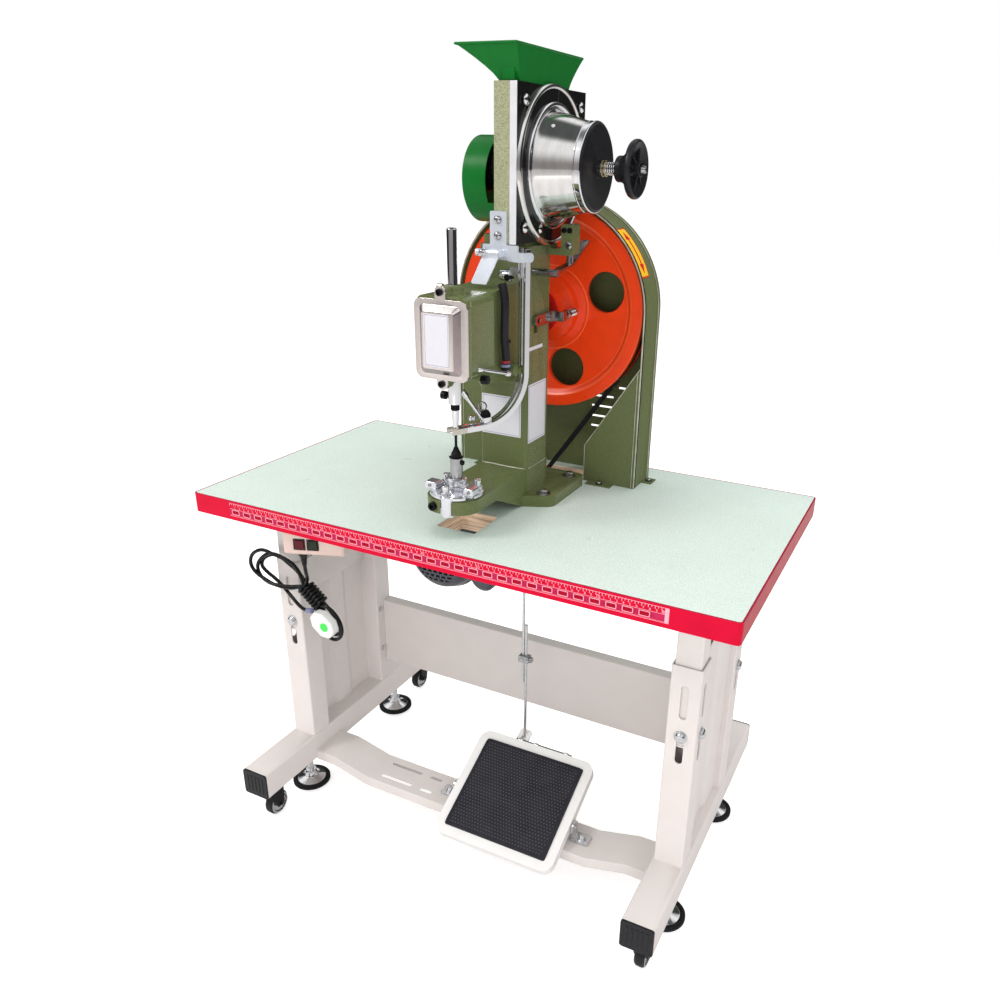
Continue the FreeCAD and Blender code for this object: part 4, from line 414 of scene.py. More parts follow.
def turn_into(bm, axis, centre, profile, steps=48, material=0, closed=False):
    """Adds a shape turned round an axis."""
    rings = []
    for radius, along in soften(profile):
        count = steps if radius > 1e-6 else 1
        rings.append([bm.verts.new(around(axis, centre, radius, 2 * math.pi * step / steps, along))
                      for step in range(count)])
    pairs = list(zip(rings, rings[1:]))
    if closed:
        pairs.append((rings[-1], rings[0]))
    faces = []
    for near, far in pairs:
        for step in range(steps):
            following = (step + 1) % steps
            corners = dict.fromkeys((near[step % len(near)], far[step % len(far)],
                                     far[following % len(far)], near[following % len(near)]))
            if len(corners) > 2:
                faces.append(bm.faces.new(tuple(corners)))
                faces[-1].material_index = material
    bmesh.ops.recalc_face_normals(bm, faces=faces)


def turned(name, axis, centre, profile, node, finish, stands_for=(), steps=64, closed=False):
    bm = bmesh.new()
    turn_into(bm, axis, centre, profile, steps, closed=closed)
    return piece(name, bm, node, finish, stands_for)


def rounded_outline(corners, count=5):
    """Points of an outline whose corners (u, v, radius) are rounded."""
    points = []
    total = len(corners)
    for index, corner in enumerate(corners):
        here = Vector(corner[:2])
        radius = corner[2] if len(corner) > 2 else 0
        if radius <= 0:
            points.append(tuple(here))
            continue
        before = (Vector(corners[index - 1][:2]) - here).normalized()
        after = (Vector(corners[(index + 1) % total][:2]) - here).normalized()
        half = before.angle(after) / 2
        reach = radius / math.tan(half)
        centre = here + (before + after).normalized() * (radius / math.sin(half))
        start = here + before * reach - centre
        end = here + after * reach - centre
        sweep = start.angle_signed(end)
        for step in range(count + 1):
            turn = -sweep * step / count
            c, s = math.cos(turn), math.sin(turn)
            points.append((centre.x + start.x * c - start.y * s, centre.y + start.x * s + start.y * c))
    return points


def slab_into(bm, plane, corners, start, stop, material=0):
    """Adds an outline pushed from start to stop, square to its plane."""
    points = rounded_outline(corners)

    def spot(u, v, w):
        return {"xy": (u, v, w), "xz": (u, w, v), "yz": (w, u, v)}[plane]

    near = [bm.verts.new(spot(u, v, start)) for u, v in points]
    far = [bm.verts.new(spot(u, v, stop)) for u, v in points]
    faces = [bm.faces.new(near), bm.faces.new(far[::-1])]
    for index in range(len(points)):
        following = (index + 1) % len(points)
        faces.append(bm.faces.new((near[index], near[following], far[following], far[index])))
    for face in faces:
        face.material_index = material
    bmesh.ops.recalc_face_normals(bm, faces=faces)


def rectangle(u, v, radius=0.0):
    return [(u[0], v[0], radius), (u[1], v[0], radius), (u[1], v[1], radius), (u[0], v[1], radius)]


def wire(name, points, radius, node, finish, smooth=True, closed=False):
    """A round wire along points given in millimetres."""
    curve = bpy.data.curves.new(name, "CURVE")
    curve.dimensions = "3D"
    curve.bevel_depth = 1.0  # metres, times each point's radius
    curve.bevel_resolution = 4
    curve.use_fill_caps = True
    spline = curve.splines.new("NURBS" if smooth else "POLY")
    spline.points.add(len(points) - 1)
    for point, place in zip(spline.points, points):
        point.co = (*(Vector(place) * MM), 1)
        point.radius = radius * MM
    if smooth:
        spline.order_u = 3
        spline.use_endpoint_u = True
        spline.resolution_u = 8
    spline.use_cyclic_u = closed
    return own(name, curve, node, finish)


def coil_points(axis, centre, radius, start, stop, turns, per_turn=14):
    """Points of a helix along an axis."""
    shares = [step / (turns * per_turn) for step in range(int(turns * per_turn) + 1)]
    return [around(axis, centre, radius, 2 * math.pi * turns * t, start + (stop - start) * t)
            for t in shares]


def facing(axis, sign):
    """A matrix that turns +Z to the given direction."""
    targets = {"x": Vector((sign, 0, 0)), "y": Vector((0, sign, 0)), "z": Vector((0, 0, sign))}
    return targets[axis].to_track_quat("Z", "Y").to_matrix().to_4x4()


def add_screw(bm, seat, axis, sign, head, height, drive="hex", washer=0.0, other=1):
    """A socket, hexagon or cross-recess screw head; other is the material of its washer and of its cross, a
    raised flat cross that paints the shade of the recess.
    """
    part = bmesh.new()
    lift = WASHER if washer else 0.0
    top = lift + height

    def turn(profile, steps=24, material=0):
        turn_into(part, "z", (0, 0), profile, steps, material)

    if washer:
        turn([(0, 0), (washer, 0, 0.3), (washer, lift, 0.3), (0, lift)], 28, other)
    if drive == "hexagon":
        outline = [around("z", (0, 0), head, math.radians(60 * i), 0)[:2] for i in range(6)]
        slab_into(part, "xy", outline, lift, lift + height * 0.86)
        turn([(head * 0.84, lift + height * 0.8), (head * 0.8, top, 0.4), (0, top)])
    elif drive == "hex":
        socket = head * 0.5
        turn([(0, lift), (head, lift), (head, top, head * 0.22), (socket * 1.1, top)])
        turn([(socket * 1.1, top), (socket, top - 0.4), (socket, lift + height * 0.45),
              (0, lift + height * 0.4)], 6)
    else:
        turn([(0, lift), (head, lift), (head, lift + height * 0.35, head * 0.3),
              (head * 0.6, top, head * 0.4), (0, top)])
        # The cross recess is not cut: a raised cross in the other finish paints the recess's shade.
        long, short = head * 0.52, head * 0.13
        for wide, deep in ((short, long), (long, short)):
            slab_into(part, "xy", rectangle((-wide, wide), (-deep, deep)), lift + height * 0.75, top + 0.12,
                      other)
    join_into(bm, part, Matrix.Translation(seat) @ facing(axis, sign))


def screws(name, places, axis, sign, head, height, node, finishes=("black_steel", "black_steel"),
           drive="hex", washer=0.0, stands_for=()):
    """Several equal screws in one mesh."""
    bm = bmesh.new()
    for place in places:
        add_screw(bm, Vector(place), axis, sign, head, height, drive, washer)
    return piece(name, bm, node, finishes, stands_for)


def turn_faces(bm, outwards):
    """Makes every face look the way that outwards gives for its centre."""
    bmesh.ops.recalc_face_normals(bm, faces=bm.faces)
    for face in bm.faces:
        if face.normal.dot(outwards(face.calc_center_median())) < 0:
            face.normal_flip()


def plane_at(origin, right, up):
    """A matrix from u, v and height over a plane to a place."""
    right, up = Vector(right).normalized(), Vector(up).normalized()
    place = Matrix((right, up, right.cross(up))).transposed().to_4x4()
    place.translation = Vector(origin)
    return place


def above(height):
    """Height above the work surface as a height above the floor."""
    return TOP + height


# ---------------------------------------------------------------- settings
class EyeletFinishSettings(bpy.types.PropertyGroup):
    """Colours that a user would change."""

    laminate: bpy.props.FloatVectorProperty(
        name="Laminate", description="Colour of the table top", subtype="COLOR", size=3, min=0, max=1,
        default=(0.63, 0.735, 0.675))
    edge: bpy.props.FloatVectorProperty(
        name="Edge band", description="Colour of the table's edge band", subtype="COLOR", size=3, min=0,
        max=1, default=(0.66, 0.002, 0.034))
    stand: bpy.props.FloatVectorProperty(
        name="Stand", description="Powder coat of the stand", subtype="COLOR", size=3, min=0, max=1,
        default=(0.76, 0.705, 0.685))
    casting: bpy.props.FloatVectorProperty(
        name="Casting", description="Hammertone of the machine and its guard", subtype="COLOR", size=3,
        min=0, max=1, default=(0.118, 0.142, 0.055))
    guard: bpy.props.FloatVectorProperty(
        name="Guard", description="Paint of the flywheel guard", subtype="COLOR", size=3, min=0, max=1,
        default=(0.128, 0.150, 0.064))
    flywheel: bpy.props.FloatVectorProperty(
        name="Flywheel", description="Enamel of the flywheel", subtype="COLOR", size=3, min=0, max=1,
        default=(0.84, 0.052, 0.006))
    funnel: bpy.props.FloatVectorProperty(
        name="Funnel", description="Enamel of the funnel and pulley guard", subtype="COLOR", size=3, min=0,
        max=1, default=(0.006, 0.150, 0.022))


class EyeletSizeSettings(bpy.types.PropertyGroup):
    """Sizes of the fine detail."""

    edge_round: bpy.props.FloatProperty(
        name="Edge rounding", description="Rounding of sheet-metal edges", unit="LENGTH", default=0.0008,
        min=0.0, max=0.005)
    casting_round: bpy.props.FloatProperty(
        name="Casting rounding", description="Rounding of cast edges", unit="LENGTH", default=0.0022,
        min=0.0, max=0.01)
    ruler_length: bpy.props.IntProperty(
        name="Ruler inches", description="Inches printed on the front edge", default=32, min=1, max=36)
    cord_length: bpy.props.FloatProperty(
        name="Cord length", description="Length of the power cord", unit="LENGTH", default=2.22, min=0.5,
        max=5.0)
    camera_lens: bpy.props.FloatProperty(
        name="Lens", description="Focal length on a 36 mm sensor, in millimetres", default=30.928, min=10.0,
        max=200.0)


def sizes():
    return bpy.context.scene.eyelet_sizes


# ---------------------------------------------------------------- stage
class EYELET_OT_stage(bpy.types.Operator):
    """Floor, soft studio light and camera"""

    bl_idname = "eyelet.stage"
    bl_label = "Stage"

    def execute(self, context):
        bm = bmesh.new()
        turn_into(bm, "z", (0, 0), [(0, 0), (2500, 0), (14000, 0)], 96)
        floor = bpy.data.objects.new("studio_floor", mesh_from(bm, "studio_floor"))
        floor.data.materials.append(KIT["backdrop"])
        context.scene.collection.objects.link(floor)
        self.light("key", (-2.3, -2.4, 3.9), 1.4, 62, (1.0, 0.985, 0.96), True)
        self.light("fill", (3.2, -1.6, 2.2), 2.4, 20, (0.97, 0.98, 1.0))
        self.light("overhead", (0.2, 0.2, 4.0), 3.0, 48, (1.0, 1.0, 1.0))
        self.light("front", (0.7, -3.6, 0.5), 2.2, 36, (1.0, 0.99, 0.975))
        self.world(context)
        self.camera(context)
        context.scene.view_settings.view_transform = "Standard"
        return {"FINISHED"}

    def light(self, name, place, size, power, colour, shines=False):
        data = bpy.data.lights.new(name, "AREA")
        data.shape = "DISK"
        data.size = size
        data.energy = power
        data.color = colour
        lamp = bpy.data.objects.new(name, data)
        lamp.location = place
        lamp.rotation_euler = (Vector((0, 0, 0.8)) - Vector(place)).to_track_quat("-Z", "Y").to_euler()
        lamp.visible_glossy = shines
        bpy.context.scene.collection.objects.link(lamp)

    def world(self, context):
        """White to the camera; in what shines, bright above and dark behind, beside and overhead."""
        world = bpy.data.worlds.new("studio")
        world.use_nodes = True
        tree = world.node_tree
        place = add_node(tree, "TexCoord").outputs["Generated"]
        x, y, z = add_node(tree, "SeparateXYZ", {"Vector": place}).outputs
        path = add_node(tree, "LightPath").outputs

        def share(value, start, stop):
            return between(tree, value, start, stop, interpolation_type="SMOOTHSTEP")

        aside = add_node(tree, "Math", {0: x}, operation="ABSOLUTE").outputs["Value"]
        behind = product(tree, share(y, 0.15, 0.60), share(z, 0.72, 0.45))
        flanks = product(tree, share(aside, 0.55, 0.90), share(z, 0.65, 0.35))
        sky = blend(tree, (0.30, 0.28, 0.275), share(z, 0.10, 0.60), (1.0, 1.0, 1.0))
        for factor, colour in ((behind, (0.05, 0.055, 0.05)), (flanks, (0.03, 0.03, 0.035)),
                               (share(z, 0.80, 0.94), (0.10, 0.11, 0.105)),
                               (path["Is Diffuse Ray"], (0.76, 0.755, 0.75)),
                               (path["Is Camera Ray"], (1.0, 1.0, 1.0))):
            sky = blend(tree, sky, factor, colour)
        background = tree.nodes["Background"]
        tree.links.new(sky, background.inputs["Color"])
        background.inputs["Strength"].default_value = 1.0
        context.scene.world = world

    def camera(self, context):
        """The viewing angle: yaw, pitch and roll in degrees, place in metres."""
        yaw, pitch, roll = (math.radians(angle) for angle in (25.2544, 23.2995, 1.5591))
        place = Vector((0.69610, -1.29023, 1.25392))
        centre = (552.825, 529.158)
        frame_size = 1000.0
        forward = Vector((-math.sin(yaw) * math.cos(pitch), math.cos(yaw) * math.cos(pitch),
                          -math.sin(pitch)))
        side = Vector((math.cos(yaw), math.sin(yaw), 0))
        up = side.cross(forward)
        right = side * math.cos(roll) + up * math.sin(roll)
        upright = up * math.cos(roll) - side * math.sin(roll)
        data = bpy.data.cameras.new("camera")
        data.sensor_width = 36.0
        data.sensor_fit = "HORIZONTAL"
        data.lens = sizes().camera_lens
        data.shift_x = (frame_size / 2 - centre[0]) / frame_size
        data.shift_y = (centre[1] - frame_size / 2) / frame_size
        data.clip_end = 60.0
        camera = bpy.data.objects.new("camera", data)
        matrix = Matrix((right, upright, -forward)).transposed().to_4x4()
        matrix.translation = place
        camera.matrix_world = matrix
        context.scene.collection.objects.link(camera)
        context.scene.camera = camera


# ---------------------------------------------------------------- cord
CORD_ROUTE = [(-0.305, -0.217, 0.584), (-0.305, -0.217, 0.563), (-0.310, -0.209, 0.544),
              (-0.3185, -0.198, 0.530), (-0.328, -0.190, 0.518)]
BUNDLE = Vector((-341.3, -182.0, 500.9))            # where the wraps round the hank begin
BUNDLE_DOWN = Vector((0.759, 0.0, -0.651))
BUNDLE_OUT = Vector((0.651, 0.0, 0.759))
BUNDLE_LENGTH = 47.3
WRAP_RADIUS = 14.0
CORD_RADIUS = 3.5
STRAND_RADIUS = 5.96        # from the bundle's axis to a straight stretch
PLUG_SPOT = (-285.0, 0.0, 445.0)
PLUG_TILT = math.radians(38)


def in_bundle(along, out, back):
    """A point of the hank's tied middle."""
    point = BUNDLE + BUNDLE_DOWN * along + BUNDLE_OUT * out
    return (point.x, point.y + back, point.z)


def strand(angle, downwards):
    """A straight stretch inside the wraps; five of them stand round the bundle's axis."""
    out, back, _ = around("z", (0, 0), STRAND_RADIUS, math.radians(angle), 0)
    points = [in_bundle(along, out, back) for along in (3, 17, 31, 45)]
    return points if downwards else points[::-1]


def layer(y, corners):
    return [(x, y, z) for x, z in corners]


def hank_route():
    """The wraps, then three folds through them, ending at the plug."""
    points = []
    steps = 92
    for step in range(steps):
        t = step / (steps - 1)
        angle = math.radians(-40 - 2300 * t)
        points.append(in_bundle(BUNDLE_LENGTH * t, WRAP_RADIUS * math.cos(angle),
                                WRAP_RADIUS * math.sin(angle)))
    points += [(-311, -172, 452), (-305, -176, 436), (-297, -183, 419)]
    points += layer(-189.5, [(-286, 406.5), (-271, 406), (-258, 417), (-253.7, 434), (-259, 452),
                             (-271, 466), (-285, 474.5)])
    points += strand(288, False)
    points += layer(-189.5, [(-342, 524), (-351, 540), (-366, 550), (-387, 554), (-407, 555.5), (-423, 560),
                             (-439, 558), (-458, 546), (-466, 531), (-465, 516), (-453, 504), (-432, 496),
                             (-412, 490), (-390, 489.5), (-366, 493)])
    points += [in_bundle(-7, -9, -5)]
    points += strand(216, True)
    points += layer(-182, [(-308, 452), (-302, 437), (-294, 422), (-281, 411), (-267, 417), (-262, 431),
                           (-268, 445), (-278, 457), (-291, 467)])
    points += strand(0, False)
    points += layer(-182, [(-349, 521.5), (-361, 536.5), (-374, 545), (-391, 550), (-412, 553), (-430, 548),
                           (-446, 535), (-457, 519), (-456, 503), (-446, 491), (-428, 484.5), (-403, 486.5),
                           (-378, 490)])
    points += [in_bundle(-6, -10, 2)]
    points += strand(144, True)
    points += layer(-174.5, [(-307, 454), (-301, 438), (-292, 425), (-280, 418), (-272, 428), (-276, 440),
                             (-286, 450), (-296, 462)])
    points += strand(72, False)
    points += layer(-174.5, [(-354.6, 514), (-368, 527), (-383.6, 535), (-399, 544), (-416, 547),
                             (-434, 541), (-450, 528), (-454, 514), (-440, 503), (-420, 494)])
    points += [(-397, -178, 481), (-371, -186, 469), (-348, -195, 462.5), (-332, -200.5, 461.5),
               (-319, -202, 463.5)]
    return points


class EYELET_OT_cord(bpy.types.Operator):
    """Power cord: lead, hank, strain relief and capped plug"""

    bl_idname = "eyelet.cord"
    bl_label = "Power cord"

    def execute(self, context):
        node = "power_cord"
        route = [tuple(Vector(point) / MM) for point in CORD_ROUTE] + hank_route()
        cord = wire("cord_and_hank", route, CORD_RADIUS, node, "cord_black")
        cord.data.bevel_resolution = 3
        cord.data.splines[0].resolution_u = 4
        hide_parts("power_cord", "cord_hank")
        gland = (CORD_ROUTE[0][0] / MM, CORD_ROUTE[0][1] / MM)
        rings = [(3.6, 600), (8.6, 600), (8.6, 588, 1.0), (6.4, 586)]
        for index in range(5):
            top = 586 - index * 3.6
            radius = 6.2 - index * 0.42
            rings += [(radius, top - 0.4, 0.4), (radius, top - 2.4, 0.4), (radius - 1.0, top - 2.8),
                      (radius - 1.0, top - 3.4)]
        rings += [(3.6, 566)]
        relief = turned("cord_relief", "z", gland, rings, node, "black_plastic", steps=28)
        plug = self.plug()
        dot = turned("plug_dot", "y", (-277.7, 443.1), [(0, -212.5), (9, -212.5, 0.3), (9, -211.6)], "plug",
                     "green_dot", steps=40)
        neck = wire("plug_neck", [(-324, -201.6, 462.5), (-318, -202, 463.5), (-311, -202, 465)], 5.0,
                    "plug", "slate_plastic", smooth=False)
        return {"FINISHED"}

    def plug(self):
        """Moulded plug with soft corners, turned in its own upright plane."""
        bm = bmesh.new()
        outline = [(-27, -8, 4), (-13, -20.5, 8), (13, -21.5, 10), (28, -10, 8), (28, 10, 8),
                   (13, 21.5, 10), (-13, 20.5, 8), (-27, 8, 4)]
        slab_into(bm, "xz", outline, -212.0, -192.5)
        bm.transform(Matrix.Translation(PLUG_SPOT) @ Matrix.Rotation(PLUG_TILT, 4, "Y"))
        shell = piece("plug_body", bm, "plug", "white_plastic", ("plug",))
        return round_edges(shell, 4.5, 5)


# ---------------------------------------------------------------- marks
FIGURE_HEIGHT = 0.70            # of a figure in a font of size 1


class Marks:
    """Thin flat figures laid on one upright face, all in one mesh; u runs right and v up."""

    def __init__(self, name, origin, right, up, finishes):
        self.bm = bmesh.new()
        self.name, self.finishes = name, finishes
        self.place = plane_at(origin, right, up)
        self.glyphs = {}

    def bar(self, u, v, material=0, lift=0.12, radius=0.0):
        points = rounded_outline(rectangle(u, v, radius), 4)
        verts = [self.bm.verts.new(self.place @ Vector((a, b, lift))) for a, b in points]
        face = self.bm.faces.new(verts)
        face.material_index = material
        face.normal_update()
        if face.normal.dot(self.place.to_3x3() @ Vector((0, 0, 1))) < 0:
            face.normal_flip()

    def border(self, u, v, width, material, lift=0.16):
        """A plain line round a rectangle."""
        for part_u, part_v in ((u, (v[0], v[0] + width)), (u, (v[1] - width, v[1])),
                               ((u[0], u[0] + width), v), ((u[1] - width, u[1]), v)):
            self.bar(part_u, part_v, material, lift)

    def number(self, text, u, v, height, material=0, lift=0.16, squeeze=1.0):
        if text not in self.glyphs:
            curve = bpy.data.curves.new("figures", "FONT")
            curve.body = text
            curve.align_x = "CENTER"
            curve.resolution_u = 2
            stand_in = bpy.data.objects.new("figures", curve)
            self.glyphs[text] = bpy.data.meshes.new_from_object(stand_in)
            bpy.data.objects.remove(stand_in)
        mesh = self.glyphs[text]
        size = height / FIGURE_HEIGHT
        verts = []
        for vert in mesh.vertices:
            spot = Vector((u + vert.co.x * size * squeeze, v + vert.co.y * size, lift))
            verts.append(self.bm.verts.new(self.place @ spot))
        for polygon in mesh.polygons:
            face = self.bm.faces.new([verts[index] for index in polygon.vertices])
            face.material_index = material

    def make(self, node):
        return piece(self.name, self.bm, node, self.finishes, smooth=0)


# ---------------------------------------------------------------- table
RULER = (-414.0, 397.0)         # X where the printed scales begin and end
HALF_CENTIMETRE, INCH = 5.0, 25.4


class EYELET_OT_table(bpy.types.Operator):
    """Table top, edge band and the ruler printed on its front"""

    bl_idname = "eyelet.table"
    bl_label = "Table"

    def execute(self, context):
        dress("table_top", "laminate", 0.5, sides=[(lambda normal, centre: abs(normal.z) < 0.5, "plywood")])
        # The band's faces that look to +X take a darker red: painted shade.
        dress("table_edge_band", "red_edge", 0.8,
              sides=[(lambda normal, centre: normal.z > 0.8, "plum_edge"),
                     (lambda normal, centre: normal.x > 0.9, "side_edge")])
        self.ruler()
        return {"FINISHED"}

    def ruler(self):
        """Figures and strokes of two scales; v runs down from the work surface."""
        front = low("table_edge_band").y
        marks = Marks("printed_ruler", (0, front, TOP), (1, 0, 0), (0, 0, 1),
                      ["print", "dark_print", "pink_print"])
        start, stop = RULER
        marks.bar((start, stop), (-4.6, -3.9))
        marks.bar((start, stop), (-14.6, -14.0))
        marks.bar((start, stop), (-25.0, -15.4), 2, 0.10)
        marks.bar((start, stop), (-26.4, -26.0))
        marks.bar((start, stop), (-27.9, -27.3))
        marks.bar((stop - 6, stop), (-27.9, -4.0), 0, 0.2, 0.8)
        for step in range(int((stop - 8 - start) / HALF_CENTIMETRE) + 1):
            at = start + step * HALF_CENTIMETRE
            tall = 4.4 if step % 2 == 0 else 2.6
            marks.bar((at - 0.45, at + 0.45), (-4.6 - tall, -4.6))
            if step % 2 == 0 and step:
                count = step // 2
                if count % 10 == 0:
                    marks.number(str(count), at + 3.4, -13.6, 5.6, squeeze=0.9)
                else:
                    marks.number(str(count % 10), at + 2.6, -13.2, 4.2)
        for inch in range(1, sizes().ruler_length):
            at = start + inch * INCH
            if at > stop - 14:
                break
            marks.number(str(inch), at, -23.2, 5.6, 1, 0.2, 0.85)
            between_inches = at - INCH / 2
            for half, v, look in ((8.4, (-24.8, -15.8), (0, 0.16, 1.6)),
                                  (7.3, (-23.7, -16.9), (1, 0.2, 1.2))):
                marks.bar((between_inches - half, between_inches + half), v, *look)
        marks.make("table_edge_band")


# ---------------------------------------------------------------- stand
PAD_RADIUS = 29.5               # of a levelling foot's rubber, outside its cup
HUB_RADIUS = 17.5               # of a caster's wheel
RIB_PITCH, RIB_HALF = 9.0, 2.2


class EYELET_OT_stand(bpy.types.Operator):
    """Legs, beam, foot rail, caps, bolts, casters and levelling feet"""

    bl_idname = "eyelet.stand"
    bl_label = "Stand"

    def execute(self, context):
        for node in ("left_lower_frame", "right_lower_frame", "left_upper_leg", "right_upper_leg",
                     "rear_beam", "foot_rail"):
            dress(node, "powder_coat", sizes().edge_round / MM)
        dress("foot_end_caps", "black_plastic", 1.2)
        dress("stand_bolts", "zinc", 0.5)
        self.cap_ribs()
        for node in frame["nodes"]:
            if node.endswith("caster_fork"):
                dress(node, "black_steel", 0.5)
            elif node.endswith("caster_wheel"):
                self.wheel(node)
            elif node.endswith("levelling_foot"):
                self.foot(node)
        return {"FINISHED"}

    def foot(self, node):
        axis = middle(node)

        def pad(normal, centre):
            return math.hypot(centre.x - axis.x, centre.y - axis.y) > PAD_RADIUS

        dress(node, "chrome", 0.5, sides=[(pad, "black_rubber")])

    def wheel(self, node):
        axis = middle(node)

        def hub(normal, centre):
            return abs(normal.x) > 0.3 and math.hypot(centre.y - axis.y, centre.z - axis.z) < HUB_RADIUS

        dress(node, "black_plastic", 0.5, sides=[(hub, "zinc")])

    def cap_ribs(self):
        """Raised ribs on the end faces of the foot tubes' caps."""
        bm = bmesh.new()
        lower, upper = low("foot_end_caps"), high("foot_end_caps")
        for face_y, sign in ((lower.y, -1), (upper.y, 1)):
            for side in (-1, 1):
                centre = side * (upper.x - 29.0)
                for index in range(5):
                    x = centre + (index - 2) * RIB_PITCH
                    span = sorted((face_y - sign * 0.4, face_y + sign * 0.9))
                    slab_into(bm, "xz", rectangle((x - RIB_HALF, x + RIB_HALF), (lower.z + 9, upper.z - 9),
                                                  1.6), *span)
        rib = piece("cap_ribs", bm, "foot_end_caps", "black_plastic")
        round_edges(rib, 0.5)


# ---------------------------------------------------------------- pedal
TREADLE = Matrix.Translation((77.5, -122.0, 100.0)) @ Matrix.Rotation(math.radians(26.5), 4, "X")
MAT_TOP = 18.0                  # above the treadle's own plane
MAT_U, MAT_V = (-106.6, 106.6), (-84.8, 105.8)
BORDER = 4.0
STUD_PITCH, STUD_ROWS, STUD_COLUMNS = 6.2, 29, 33
STUDS_U, STUDS_V = (-98.8, 99.0), -75.6         # where the studs start, and where their rows end


class EYELET_OT_pedal(bpy.types.Operator):
    """Treadle with its dotted mat, hinges and pull rods"""

    bl_idname = "eyelet.pedal"
    bl_label = "Pedal"

    def execute(self, context):
        dress("pedal_frame", "pedal_white", 2.0, 3)
        dress("pedal_mat", "mat_rubber", 1.0)
        dress("pedal_brackets", "zinc", 0.5)
        dress("lower_pull_rod", "zinc", 0.4)
        dress("upper_pull_rod", "zinc", 0.4)
        dress("rod_clamp", "steel", 0.8)
        self.mat_surface()
        self.edge_rod()
        self.clamp_screws()
        return {"FINISHED"}

    def edge_rod(self):
        """Thin rod held by three lugs along the treadle's rear edge."""
        for name, ends, back, radius, finish in (("rod", (-52, 72), 126.2, 1.5, "black_steel"),
                                                 ("lug_0", (-45.5, -36.5), 125.4, 4.0, "zinc"),
                                                 ("lug_1", (-11.5, -2.5), 125.4, 4.0, "zinc"),
                                                 ("lug_2", (55.5, 64.5), 125.4, 4.0, "zinc")):
            points = [tuple(TREADLE @ Vector((x, back, 12.5))) for x in ends]
            wire("edge_" + name, points, radius, "pedal_frame", finish, smooth=False)

    def mat_surface(self):
        """Rows of small studs inside a smooth bevelled border."""
        bm = bmesh.new()
        outer = rounded_outline(rectangle(MAT_U, MAT_V, 9.0), 6)
        u, v = ((start + BORDER, stop - BORDER) for start, stop in (MAT_U, MAT_V))
        inner = rounded_outline(rectangle(u, v, 5.0), 6)
        edges = ((outer, -0.5), (outer, 1.2), (inner, 1.2), (inner, -0.5))
        loops = [[bm.verts.new((*point, MAT_TOP + lift)) for point in outline] for outline, lift in edges]
        for near, far in zip(loops, loops[1:]):
            for index in range(len(near)):
                after = (index + 1) % len(near)
                bm.faces.new((near[index], near[after], far[after], far[index]))
        stud = [(1.7, MAT_TOP - 0.2), (1.3, MAT_TOP + 0.7), (0, MAT_TOP + 0.9)]
        for row in range(STUD_ROWS):
            for column in range(STUD_COLUMNS):
                x = STUDS_U[0] + column * STUD_PITCH + (STUD_PITCH / 2 if row % 2 else 0)
                if x <= STUDS_U[1]:
                    turn_into(bm, "z", (x, STUDS_V + row * STUD_PITCH), stud, 6, 1)
        bm.transform(TREADLE)
        piece("mat_studs", bm, "pedal_mat", ["mat_rubber", "mat_dots"])

    def clamp_screws(self):
        clamp = middle("rod_clamp")
        bm = bmesh.new()
        for x in (-6, 6):
            add_screw(bm, Vector((clamp.x + x, low("rod_clamp").y, clamp.z)), "y", -1, 3.4, 2.6, "cross",
                      other=0)
        piece("clamp_screws", bm, "rod_clamp", ["zinc", "black_steel"])


# ---------------------------------------------------------------- drive
FIN_PITCH, FIN_WIDTH = 8.0, 2.6
FIN_TOP = 44.0                  # below the work surface; the hanger is above
SWITCH_TURN = math.radians(21.4)
SWITCH_FACE = (-313.0, -257.0)  # X and Y of a point on the switch's face


class EYELET_OT_drive(bpy.types.Operator):
    """Clutch motor, belt, pulley and switch"""

    bl_idname = "eyelet.drive"
    bl_label = "Drive and switch"

    def execute(self, context):
        dress("motor", "motor_grey", 1.2)
        dress("motor_pulley", "alloy", 0.6)
        dress("v_belt", "black_rubber", 0.8)
        dress("switch_box", "box_plastic", 1.5)
        dress("red_button", "red_plastic", 1.2, 3)
        dress("green_button", "green_plastic", 1.2, 3)
        self.motor_fins()
        self.bezels()
        return {"FINISHED"}

    def motor_fins(self):
        """Cooling fins round the motor's barrel."""
        bm = bmesh.new()
        for index in range(9):
            y = -FIN_PITCH + index * FIN_PITCH
            fin = [(75.0, y), (78.0, y, 0.5), (78.0, y + FIN_WIDTH, 0.5), (75.0, y + FIN_WIDTH)]
            turn_into(bm, "y", (MOTOR.x, MOTOR.z), fin, 72, closed=True)
        for face in list(bm.faces):
            if face.calc_center_median().z > TOP - FIN_TOP:
                bm.faces.remove(face)
        piece("motor_fins", bm, "motor", "motor_grey")

    def bezels(self):
        """Black square collars round the two buttons, in the turned plane of the switch's face."""
        along = Vector((math.cos(SWITCH_TURN), math.sin(SWITCH_TURN), 0))
        up = Vector((0, 0, 1))
        for colour in ("red", "green"):
            centre = middle(colour + "_button")
            seat = Vector((*SWITCH_FACE, centre.z))
            bm = bmesh.new()
            for u, v in (((-10.5, 10.5), (-10.5, -8.4)), ((-10.5, 10.5), (8.4, 10.5)),
                         ((-10.5, -8.4), (-8.4, 8.4)), ((8.4, 10.5), (-8.4, 8.4))):
                slab_into(bm, "xy", rectangle(u, v), 0.5, 1.8)
            bm.transform(plane_at(seat + along * (centre - seat).dot(along), along, up))
            round_edges(piece(colour + "_bezel", bm, "switch_box", "black_plastic"), 0.4)


# ---------------------------------------------------------------- machine casting and head
COLUMN_SIDE, COLUMN_FRONT = 46.0, -27.0        # faces that carry a blank label
RAM_GUIDE = (0, -182)
HOSE_AXIS = (50, -111)


